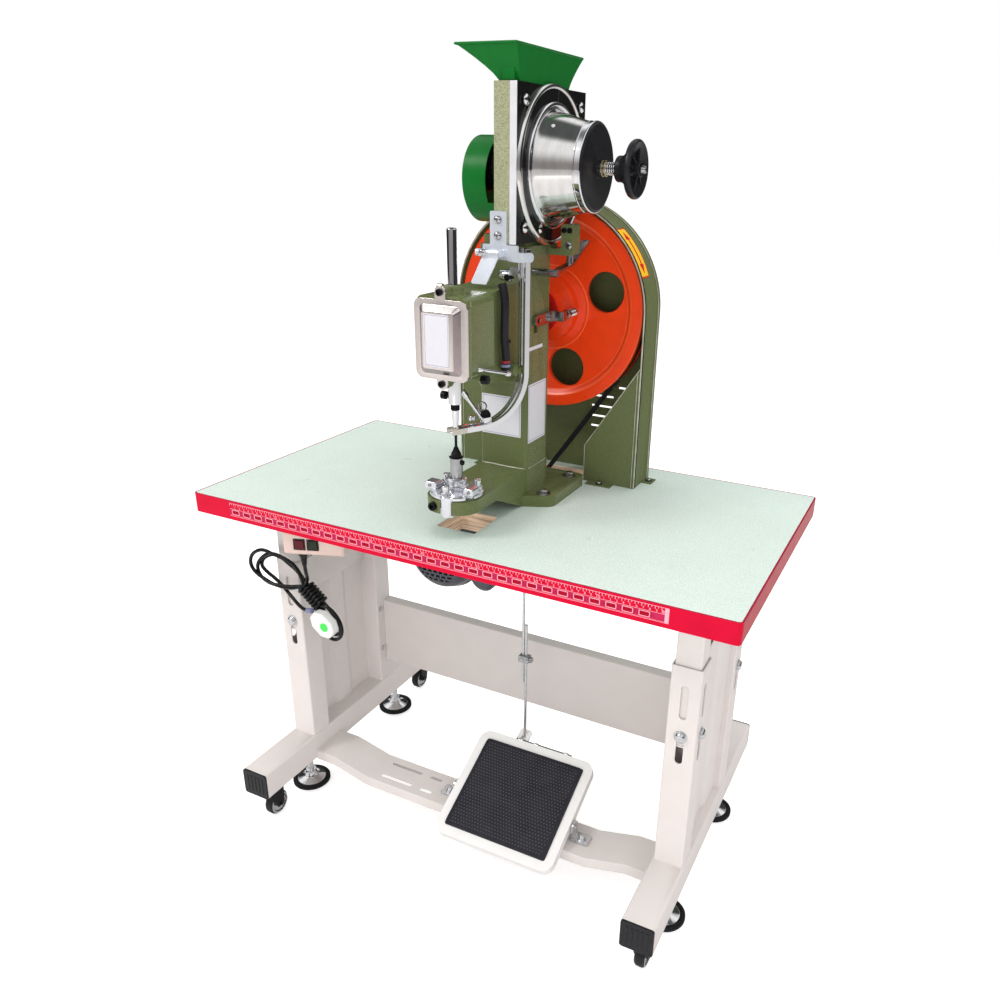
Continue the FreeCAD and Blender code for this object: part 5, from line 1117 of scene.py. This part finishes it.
class EYELET_OT_casting(bpy.types.Operator):
    """Machine casting, head cover, blank labels and screws"""

    bl_idname = "eyelet.casting"
    bl_label = "Casting and head"

    def execute(self, context):
        dress("machine_frame", "hammertone", sizes().casting_round / MM, 3)
        # The cover's bevels that face front, down or aside take the darker copy of the enamel: painted
        # shade.
        dress("head_cover", "silver_enamel", 1.6, 3,
              sides=[(lambda normal, centre: -0.97 < normal.y < -0.2 and normal.z < 0.3, "painted_shade_enamel")])
        self.labels()
        self.fasteners()
        self.beads()
        self.hose()
        return {"FINISHED"}

    def labels(self):
        side = Marks("blank_side_label", (COLUMN_SIDE, 0, TOP), (0, 1, 0), (0, 0, 1),
                     ["paper", "grey_print"])
        side.bar((-24, 42), (110, 213), 0, 0.25, 2.0)
        side.border((-21.5, 39.5), (112.5, 210.5), 1.2, 1, 0.35)
        side.bar((-24, 26), (270, 276), 0, 0.4, 1.0)
        side.make("machine_frame")
        front = Marks("blank_front_label", (0, COLUMN_FRONT, TOP), (1, 0, 0), (0, 0, 1),
                      ["paper", "grey_print"])
        front.bar((-42.5, 34), (120, 190), 0, 0.3, 2.0)
        front.border((-40.5, 32), (122, 188), 1.0, 1, 0.4)
        front.make("machine_frame")
        cover = Marks("blank_cover_label", (0, low("head_cover").y, TOP), (1, 0, 0), (0, 0, 1),
                      ["paper", "grey_print"])
        cover.bar((-23.5, 20.0), (277, 354), 0, 0.3, 1.5)
        cover.border((-22, 18.5), (278.5, 352.5), 0.7, 1, 0.4)
        cover.make("head_cover")

    def fasteners(self):
        bolts = [(side * 73, y, above(20)) for side in (-1, 1) for y in (-12, 95)]
        screws("base_bolts", bolts, "z", 1, 7.5, 6.5, "machine_screws", ["zinc", "steel"], "hexagon", 12.5,
               ("machine_screws",))
        seat = high("head_cover").y - 4.0
        screws("cover_screws", [(0, seat, above(z)) for z in (250, 384)], "y", -1, 5.2, 4.0,
               "machine_screws")
        face = high("hopper_face_plate").x
        domes = [(face, y, above(z)) for y, z in ((-61, 642), (133, 642), (-60, 466), (-10, 462))]
        screws("face_plate_screws", domes, "x", 1, 8.0, 5.0, "hopper_face_plate", ["chrome", "black_steel"],
               "cross", 9.5)
        feet = [(side * x, y, above(2)) for side in (-1, 1) for x, y in ((121, 128), (197, 192))]
        screws("guard_foot_screws", feet, "z", 1, 4.4, 3.2, "flywheel_guard", ["zinc", "black_steel"],
               "cross", 6.0)
        screws("arm_clamp_screw", [(-17, -224, above(53))], "y", -1, 7.0, 8.0, "machine_frame")
        screws("lug_screws", [(-12, -190, above(388))], "x", -1, 4.5, 9.0, "machine_frame",
               ["zinc", "black_steel"])
        screws("arm_block_screws", [(78, 34, above(459)), (88, 34, above(459))], "y", -1, 4.2, 4.0,
               "hopper_casting")
        screws("arm_boss", [(86, 34, above(436))], "y", -1, 6.0, 3.0, "hopper_casting",
               ["steel", "black_steel"], "cross")

    def beads(self):
        """Pale beads where the column stands on the base and along the head's rim; their pale finish paints
        the highlight of these edges.
        """
        node = "machine_frame"
        # Pale bead round the column's foot: painted highlight of that edge.
        wire("base_seam",
             [(-46.5, -20, above(64)), (-44, -27.5, above(64.3)), (-20, -28.2, above(65.2)),
              (10, -27.8, above(63.8)), (38, -28.2, above(64.8)), (46.5, -22, above(64)),
              (46.6, 20, above(64.2)), (46.5, 50, above(64))], 1.1, node, "lip_paint")
        wire("head_seam", [(44, -205.5, above(262)), (44.3, -205.5, above(372))], 0.7, node, "lip_paint",
             smooth=False)
        turned("ram_guide", "z", RAM_GUIDE,
               [(8.2, above(384)), (15, above(384)), (15, above(389), 1.5), (10, above(391)),
                (8.2, above(391))], node, "hammertone", closed=True)

    def hose(self):
        """Black hose beside the head and the adjusting rod under it."""
        node = "machine_frame"
        wire("side_hose",
             [(44, -112, above(388)), (50, -114, above(374)), (51, -115, above(345)),
              (49, -114, above(310)), (51, -112, above(282)), (50, -106, above(262)),
              (44, -98, above(252))], 6.8, node, "black_plastic")
        for name, place, radius, finish in (("cuff", 300, 8.2, "black_rubber"),
                                            ("boss", 268, 7.6, "tan_hose"),
                                            ("sleeve", 262, 7.8, "slate_plastic")):
            turned("hose_" + name, "z", HOSE_AXIS,
                   [(0, above(place)), (radius, above(place), 1), (radius, above(place + 4), 1),
                    (0, above(place + 4))], node, finish, steps=24)
        turned("hose_fitting", "x", (-72, above(250)),
               [(0, 36), (11, 36), (11, 50, 2), (6, 54), (6, 60), (0, 60)], node, "hammertone", steps=32)
        wire("adjusting_rod", [(44, -180, above(270)), (58, -150, above(262)), (64, -128, above(256))], 2.6,
             node, "chrome", smooth=False)
        for index, (x, y, z) in enumerate(((44, -180, 270), (64, -128, 256))):
            turned("adjuster_ball_%d" % index, "x", (y, above(z)),
                   [(0, x - 5), (3.5, x - 4.2), (5, x), (3.5, x + 4.2), (0, x + 5)], node, "chrome",
                   steps=24)
        turned("adjuster_nut", "x", (-168, above(252)), [(0, 40), (7, 40), (7, 52, 1.5), (0, 52)], node,
               "black_steel", steps=6)


# ---------------------------------------------------------------- ram and dies
KNURLS, KNURL_RADIUS = 24, 6.5
CLAMP_SCREW_RADIUS = 33.0


class EYELET_OT_dies(bpy.types.Operator):
    """Ram, punch, lower die and its clamp plate"""

    bl_idname = "eyelet.dies"
    bl_label = "Ram and dies"

    def execute(self, context):
        dress("ram", "chrome", 0.6)
        dress("punch", "black_steel", 0.3, sides=[(self.is_tip, "chrome")])
        dress("die_post", "steel", 0.4, sides=[(self.is_die, "black_steel")])
        dress("clamp_plate", "alloy", 0.8)
        node = "punch"
        x, y = PUNCH.x, PUNCH.y
        knurl = bmesh.new()
        for index in range(KNURLS):
            spot = around("z", (x, y), KNURL_RADIUS, 2 * math.pi * index / KNURLS, 0)
            turn_into(knurl, "z", spot[:2],
                      [(0, above(202)), (0.7, above(202.5)), (0.7, above(211)), (0, above(211.5))], 6)
        piece("punch_knurl", knurl, node, "black_steel")
        node = "die_post"
        turned("die_ring_lip", "z", (x, y),
               [(8.4, above(124.2)), (11.2, above(124.2)), (11.6, above(125.5)), (8.4, above(126.6))], node,
               "black_steel", closed=True)
        screws("die_lock_screw", [(10, y, above(117))], "x", 1, 4.0, 3.5, "die_post")
        turned("die_sleeve", "z", (5, -217),
               [(0, above(38)), (13, above(38), 1), (13, above(71)), (0, above(71))], "clamp_plate",
               "alloy", steps=48)
        seats = [around("z", (0, y), CLAMP_SCREW_RADIUS, math.radians(turn), above(82))
                 for turn in (30, 150, 270)]
        screws("clamp_plate_screws", seats, "z", 1, 6.2, 5.5, "clamp_plate", ["chrome", "black_steel"])
        blocks = bmesh.new()
        for ends in ((-46, -24), (26, 44)):
            slab_into(blocks, "xz", rectangle(ends, (above(72), above(84)), 3), -206, -186)
        jaws = piece("clamp_jaws", blocks, "clamp_plate", "alloy")
        round_edges(jaws, 1.5, 3)
        screws("jaw_screws", [(-36, -206, above(78)), (36, -206, above(78))], "y", -1, 3.0, 1.5,
               "clamp_plate", ["steel", "black_steel"])
        return {"FINISHED"}

    def is_tip(self, normal, centre):
        return centre.z < above(199.5) and abs(centre.x) < 7

    def is_die(self, normal, centre):
        return centre.z > above(123.5)


# ---------------------------------------------------------------- flywheel and guard
RIM_RADIUS, RIM_REAR = 158, 146         # the painted rim lies outside and in front of these
LIP_STEPS = 32
STICKER_RADIUS = 187.0
STICKER_START, STICKER_STOP = math.radians(20), math.radians(49)
STICKER_Y = (142.0, 178.0)


class EYELET_OT_flywheel(bpy.types.Operator):
    """Flywheel, crankshaft, trip lever and sheet-metal guard"""

    bl_idname = "eyelet.flywheel"
    bl_label = "Flywheel and guard"

    def execute(self, context):
        def outer(normal, centre):
            return math.hypot(centre.x, centre.z - SHAFT.z) > RIM_RADIUS and centre.y < RIM_REAR

        dress("flywheel", "orange_paint", 1.6, 3, sides=[(outer, "rim_paint")])
        dress("crankshaft", "grease", 0.8)
        dress("trip_lever", "steel", 0.6)
        dress("flywheel_guard", "guard_paint", 0.0, merge=False)
        self.rings()
        self.lips()
        self.sticker()
        self.plunger_coil()
        return {"FINISHED"}

    def rings(self):
        """Turned steps on the wheel's face."""
        node = "flywheel"
        centre = (0, SHAFT.z)
        front = low("flywheel").y + 45.0
        for name, radius in (("web_step", 151.0), ("hub_step", 74.0), ("boss_step", 66.0)):
            turned("flywheel_" + name, "y", centre,
                   [(radius - 2.2, front + 2), (radius - 1.2, front, 0.6), (radius + 1.2, front, 0.6),
                    (radius + 2.2, front + 2)], node, "rim_paint", steps=120, closed=True)
        turned("shaft_red_ring", "y", centre, [(31, 96), (40, 96, 1), (40, 101, 1), (31, 101)], "flywheel",
               "red_print", steps=64, closed=True)

    def lips(self):
        """Folded edges of the guard's arch and of its low panels, drawn as pale wires that paint their
        highlight.
        """
        node = "flywheel_guard"
        for name, y, half, radius, finish in (("front", 137.8, 186.4, 1.5, "lip_paint"),
                                              ("rear", 203.4, 188.4, 0.9, "lip_paint"),
                                              # The black line just behind the front lip paints the shade in
                                              # the fold; no black part is there.
                                              ("dark", 139.5, 188.1, 0.9, "black_steel")):
            points = [(-half, y, above(2)), (-half, y, SHAFT.z)]
            points += [around("y", (0, SHAFT.z), half, math.pi - math.pi * step / LIP_STEPS, y)
                       for step in range(1, LIP_STEPS)]
            points += [(half, y, SHAFT.z), (half, y, above(2))]
            wire("guard_lip_" + name, points, radius, node, finish, smooth=False)
        # Pale lines on the low panels' edges and seams: painted highlights.
        for side, hand in ((-1, "left"), (1, "right")):
            points = [(side * 185, 137.6, above(226)), (side * 84, 137.6, above(70)),
                      (side * 84, 137.6, above(2))]
            wire("guard_panel_edge_" + hand, points, 0.9, node, "lip_paint", smooth=False)
            points = [(side * 181, 137.7, above(2)), (side * 181, 137.7, above(217))]
            wire("guard_panel_seam_" + hand, points, 0.8, node, "lip_paint", smooth=False)

    def sticker(self):
        """Yellow label bent over the arch, with a red border and a plain double arrow."""
        bm = bmesh.new()
        length = STICKER_RADIUS * (STICKER_STOP - STICKER_START)
        front, rear = STICKER_Y
        halfway = (front + rear) / 2

        def spot(u, y, lift):
            """A point u millimetres along the label and lifted from the guard."""
            angle = STICKER_START + u / STICKER_RADIUS
            return bm.verts.new(around("y", (0, SHAFT.z), STICKER_RADIUS + lift, angle, y))

        def patch(u, v, material, lift):
            steps = int((u[1] - u[0]) / 6)
            rows = [[spot(u[0] + (u[1] - u[0]) * step / steps, y, lift) for y in v]
                    for step in range(steps + 1)]
            for near, far in zip(rows, rows[1:]):
                bm.faces.new((near[0], near[1], far[1], far[0])).material_index = material

        patch((0, length), (front, rear), 1, 0.3)
        patch((2.5, length - 2.5), (front + 2.5, rear - 2.5), 0, 0.5)
        patch((18, length - 18), (halfway - 2.5, halfway + 2.5), 1, 0.7)
        for tip, base in ((7, 24), (length - 7, length - 24)):
            head = ((tip, halfway), (base, halfway - 9), (base, halfway + 9))
            bm.faces.new([spot(u, y, 0.75) for u, y in head]).material_index = 1
        turn_faces(bm, lambda place: Vector((place.x, 0, place.z - SHAFT.z)))
        piece("arrow_sticker", bm, "flywheel_guard", ["yellow_label", "red_print"], smooth=0)

    def plunger_coil(self):
        """Coil spring on the trip lever's plunger, and its locking nut."""
        node = "trip_lever"
        x, z = 61.0, above(317)
        wire("plunger_spring", coil_points("y", (x, z), 6.0, 96, 118, 6), 1.1, node, "chrome")
        turned("plunger_end", "y", (x, z), [(0, 90), (4, 90), (4, 119), (7, 119), (7, 124, 1.5), (0, 124)],
               node, "chrome", steps=24)
        turned("plunger_nut", "y", (x, z), [(0, 86), (9, 86), (9, 94, 1), (0, 94)], node, "zinc", steps=6)


# ---------------------------------------------------------------- hopper
SEAMS = (84.5, 262.0)           # degrees round the raceway
RIVET = (78.0, -14.5, above(606.0))
RIVET_RADIUS = 75.2


class EYELET_OT_hopper(bpy.types.Operator):
    """Hopper casting, raceway, bowl, spindle, hand knob, funnel and pulley guard"""

    bl_idname = "eyelet.hopper"
    bl_label = "Hopper"

    def execute(self, context):
        dress("hopper_casting", "hammertone", 1.2, sides=[(self.is_plate, "khaki")])
        dress("hopper_face_plate", "black_plate", 0.8,
              sides=[(lambda normal, centre: normal.y < -0.5, "bright_strip")])
        self.bowl()
        self.spindle()
        self.knob()
        dress("pulley_guard", "green_paint", 0.6)
        dress("hopper_funnel", "green_paint", 1.0, 3)
        self.funnel_trim()
        dress("hopper_stay", "steel", 0.6)
        return {"FINISHED"}

    def is_plate(self, normal, centre):
        return normal.y < -0.9 and centre.x < 42 and centre.z > above(444)

    def bowl(self):
        node = "hopper_bowl"
        centre = (HOPPER.y, HOPPER.z)
        x = high("hopper_face_plate").x
        end = high("hopper_bowl").x
        turned("hopper_ring", "x", centre,
               [(109.5, x), (118, x), (118, x + 3, 1), (116, x + 6.2, 1.5), (112.4, x + 7.2, 1.5),
                (110, x + 5.4, 1), (109.5, x + 3)], node, "spun", ("hopper_bowl",), 144, True)
        # The raceway is bright metal; its near-black finish paints a dark reflection.
        turned("hopper_race", "x", centre,
               [(90, x), (110.2, x), (110.2, x + 4.4), (101, x + 4.0), (90, x + 4.4)], node, "black_race",
               (), 144, True)
        turned("hopper_step", "x", centre,
               [(83, x + 3), (92.4, x + 3), (92.4, x + 7, 1), (90.5, x + 9.2, 1), (87, x + 9.8, 1),
                (84, x + 7.6), (83, x + 6.5)], node, "chrome", (), 144, True)
        turned("hopper_bowl_shell", "x", centre,
               [(84.5, x + 6.6), (82, x + 6.8, 1), (79.4, x + 11.5, 4), (77.6, x + 18), (65.2, end - 12.8)],
               node, "spun", (), 144)
        turned("hopper_mouth", "x", centre,
               [(64, end - 13), (65.4, end - 13), (66.6, end - 12), (66.6, end - 10.8), (65.8, end - 10.2),
                (65.8, end - 3.4), (66.6, end - 2.8), (66.6, end - 1.2, 0.5), (65.2, end, 0.5), (63, end),
                (62.9, end - 6), (12, end - 6)], node, "chrome", (), 144)
        bm = bmesh.new()
        for angle in SEAMS:
            turn = math.radians(angle)
            across = Vector((0, -math.sin(turn), math.cos(turn))) * 1.2
            inner, outer = (Vector(around("x", centre, radius, turn, x + 4.55)) for radius in (91.5, 110))
            corners = (inner - across, outer - across, outer + across, inner + across)
            bm.faces.new([bm.verts.new(corner) for corner in corners])
        turn_faces(bm, lambda place: Vector((1, 0, 0)))
        piece("race_seams", bm, node, "spun", smooth=0)
        bm = bmesh.new()
        turn_into(bm, "z", (0, 0), [(3.2, -0.5), (3.2, 0.4), (2.2, 1.6), (0, 2.0)], 20)
        outwards = Vector((0.25, RIVET[1] - centre[0], RIVET[2] - centre[1])).normalized()
        seat = Vector((RIVET[0], *centre)) + Vector((0, outwards.y, outwards.z)) * RIVET_RADIUS
        bm.transform(Matrix.Translation(seat) @ outwards.to_track_quat("Z", "Y").to_matrix().to_4x4())
        piece("bowl_rivet", bm, node, "paper")
        dress("bowl_cover", "black_plastic", 0.6)

    def spindle(self):
        node = "hopper_spindle"
        centre = (HOPPER.y, HOPPER.z)
        start, stop = low("hopper_spindle").x, high("hopper_spindle").x
        x = high("hopper_bowl").x
        turned("spindle_shaft", "x", centre,
               [(0, start), (5.5, start, 0.6), (6, start + 1), (6, stop - 4), (4.4, stop, 0.8), (0, stop)],
               node, "steel", ("hopper_spindle",), 32)
        rings = [(6, -62), (39.5, -62, 0.6)]
        for index in range(7):
            groove = -60.5 + index * 3.9
            rings += [(39.5, groove), (36.5, groove + 1.0), (36.5, groove + 2.0), (39.5, groove + 2.9)]
        rings += [(39.5, -32, 0.6), (16, -32), (16, -20, 1), (6, -20)]
        turned("drive_pulley", "x", centre, rings, node, "black_plastic", (), 72)
        for index, (radius, at, wide, finish) in enumerate((
                (8.5, x + 4.8, 3.6, "steel"), (12.0, x + 8.6, 3.0, "brass"), (9.5, x + 11.8, 1.8, "chrome"),
                (12.0, x + 13.8, 3.0, "brass"), (9.0, x + 17.0, 1.8, "chrome"))):
            turned("spindle_collar_%d" % index, "x", centre,
                   [(5.9, at), (radius, at, 0.5), (radius, at + wide, 0.5), (5.9, at + wide)], node, finish,
                   (), 40, True)
        wire("spindle_spring", coil_points("x", centre, 8.6, x + 19, x + 34.2, 4.6), 1.35, node, "chrome")

    def knob(self):
        node = "hopper_knob"
        dress("hopper_knob", "black_plastic", 1.4, 3)
        stop = high("hopper_knob").x
        ribs = bmesh.new()
        for index in range(6):
            part = bmesh.new()
            slab_into(part, "xy", [(stop - 14, 10), (stop - 4.5, 10), (stop - 7.5, 38), (stop - 14, 38)],
                      -1.6, 1.6)
            turn = Matrix.Rotation(math.radians(15 + 60 * index), 4, "X")
            join_into(ribs, part, Matrix.Translation((0, HOPPER.y, HOPPER.z)) @ turn)
        rib = piece("knob_ribs", ribs, node, "black_plastic")
        round_edges(rib, 0.8)
        screws("knob_screw", [(stop - 0.5, HOPPER.y, HOPPER.z)], "x", 1, 6.0, 4.0, "hopper_knob",
               ["zinc", "black_steel"], "cross", 9.0)

    def funnel_trim(self):
        """Rolled rim and the lug on the funnel's front."""
        node = "hopper_funnel"
        x0, y0, _ = low("hopper_funnel")
        x1, y1, z1 = high("hopper_funnel")
        z = z1 - 0.6
        corners = [(x0 + 1, y0 + 1, z), (x1 - 1, y0 + 1, z), (x1 - 1, y1 - 1, z), (x0 + 1, y1 - 1, z)]
        rim = []
        for index, corner in enumerate(corners):
            following = Vector(corners[(index + 1) % 4])
            here = Vector(corner)
            for t in (0.0, 0.04, 0.5, 0.96):
                rim.append(tuple(here.lerp(following, t)))
        wire("funnel_rim", rim, 1.8, node, "green_paint", closed=True)
        bm = bmesh.new()
        slab_into(bm, "xz", rectangle((24, 44), (above(666), above(682)), 2), -77, -71)
        round_edges(piece("funnel_lug", bm, node, "green_paint"), 1.2, 2)


# ---------------------------------------------------------------- feed track
class EYELET_OT_track(bpy.types.Operator):
    """Feed track, its bracket and latch, and the linkage at its tip"""

    bl_idname = "eyelet.track"
    bl_label = "Feed track"

    def execute(self, context):
        tip = above(182)
        dress("feed_track", "chrome", 0.8, 2,
              sides=[(lambda normal, centre: centre.z < tip and centre.y < -165, "warm_chrome")])
        dress("track_bracket", "satin", 0.5)
        dress("latch_lever", "satin", 0.5)
        seats = [(24, -89, above(z)) for z in (478, 455)]
        screws("bracket_screws", seats, "y", -1, 5.5, 3.6, "track_bracket", ["zinc", "steel"], "cross", 6.4)
        node = "track_bracket"
        turned("latch_pin_head", "y", (5.0, above(430)),
               [(0, -108), (4.5, -108, 1.2), (5.4, -104), (5.4, -100), (0, -100)], "latch_lever", "chrome",
               steps=28)
        turned("track_nut", "y", (52, above(404)), [(0, -92), (8, -92), (8, -84, 1), (0, -84)], node,
               "zinc", steps=6)
        turned("track_stud", "y", (44, above(396)), [(0, -98), (5, -98, 1), (5, -82), (0, -82)], node,
               "black_steel", steps=24)
        turned("track_clamp", "x", (-88, above(398)), [(0, 30), (9, 30, 1), (9, 48, 1), (0, 48)], node,
               "chrome", steps=32)
        node = "feed_track"
        wire("second_link", [(-4.5, -146, above(214)), (14, -126, above(184))], 2.3, node, "chrome",
             smooth=False)
        turned("link_joint", "z", (19, -122),
               [(0, above(176)), (9, above(176), 1), (9, above(184), 1.5), (5, above(190)),
                (0, above(190))], node, "black_steel", steps=32)
        turned("link_screw", "z", (6, -140),
               [(0, above(176)), (6, above(176)), (6, above(183), 2), (0, above(184))], node, "chrome",
               steps=28)
        turned("link_ring", "y", (16, above(197)),
               [(5.5, -126), (7.6, -126, 0.6), (7.6, -123.5, 0.6), (5.5, -123.5)], node, "steel", steps=36,
               closed=True)
        return {"FINISHED"}


# ---------------------------------------------------------------- panel and registration
MAKERS = (EYELET_OT_stage, EYELET_OT_cord, EYELET_OT_table, EYELET_OT_stand, EYELET_OT_pedal,
          EYELET_OT_drive, EYELET_OT_casting, EYELET_OT_dies, EYELET_OT_flywheel, EYELET_OT_hopper,
          EYELET_OT_track)


class EYELET_PT_panel(bpy.types.Panel):
    """Lists the makers of the eyelet machine"""

    bl_idname = "EYELET_PT_panel"
    bl_label = "Eyelet Machine"
    bl_space_type = "VIEW_3D"
    bl_region_type = "UI"
    bl_category = "Eyelet Machine"

    def draw(self, context):
        layout = self.layout
        for settings in (context.scene.eyelet_finishes, context.scene.eyelet_sizes):
            for name in settings.__annotations__:
                layout.prop(settings, name)
        for maker in MAKERS:
            layout.operator(maker.bl_idname)


CLASSES = (EyeletFinishSettings, EyeletSizeSettings, *MAKERS, EYELET_PT_panel)


def register():
    for item in CLASSES:
        bpy.utils.register_class(item)
    bpy.types.Scene.eyelet_finishes = bpy.props.PointerProperty(type=EyeletFinishSettings)
    bpy.types.Scene.eyelet_sizes = bpy.props.PointerProperty(type=EyeletSizeSettings)


def unregister():
    del bpy.types.Scene.eyelet_sizes
    del bpy.types.Scene.eyelet_finishes
    for item in reversed(CLASSES):
        bpy.utils.unregister_class(item)


def main():
    """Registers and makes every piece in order."""
    register()
    KIT.update(make_finishes(bpy.context.scene.eyelet_finishes))
    for maker in MAKERS:
        family, operation = maker.bl_idname.split(".")
        getattr(getattr(bpy.ops, family), operation)()


if __name__ == "__main__":
    main()
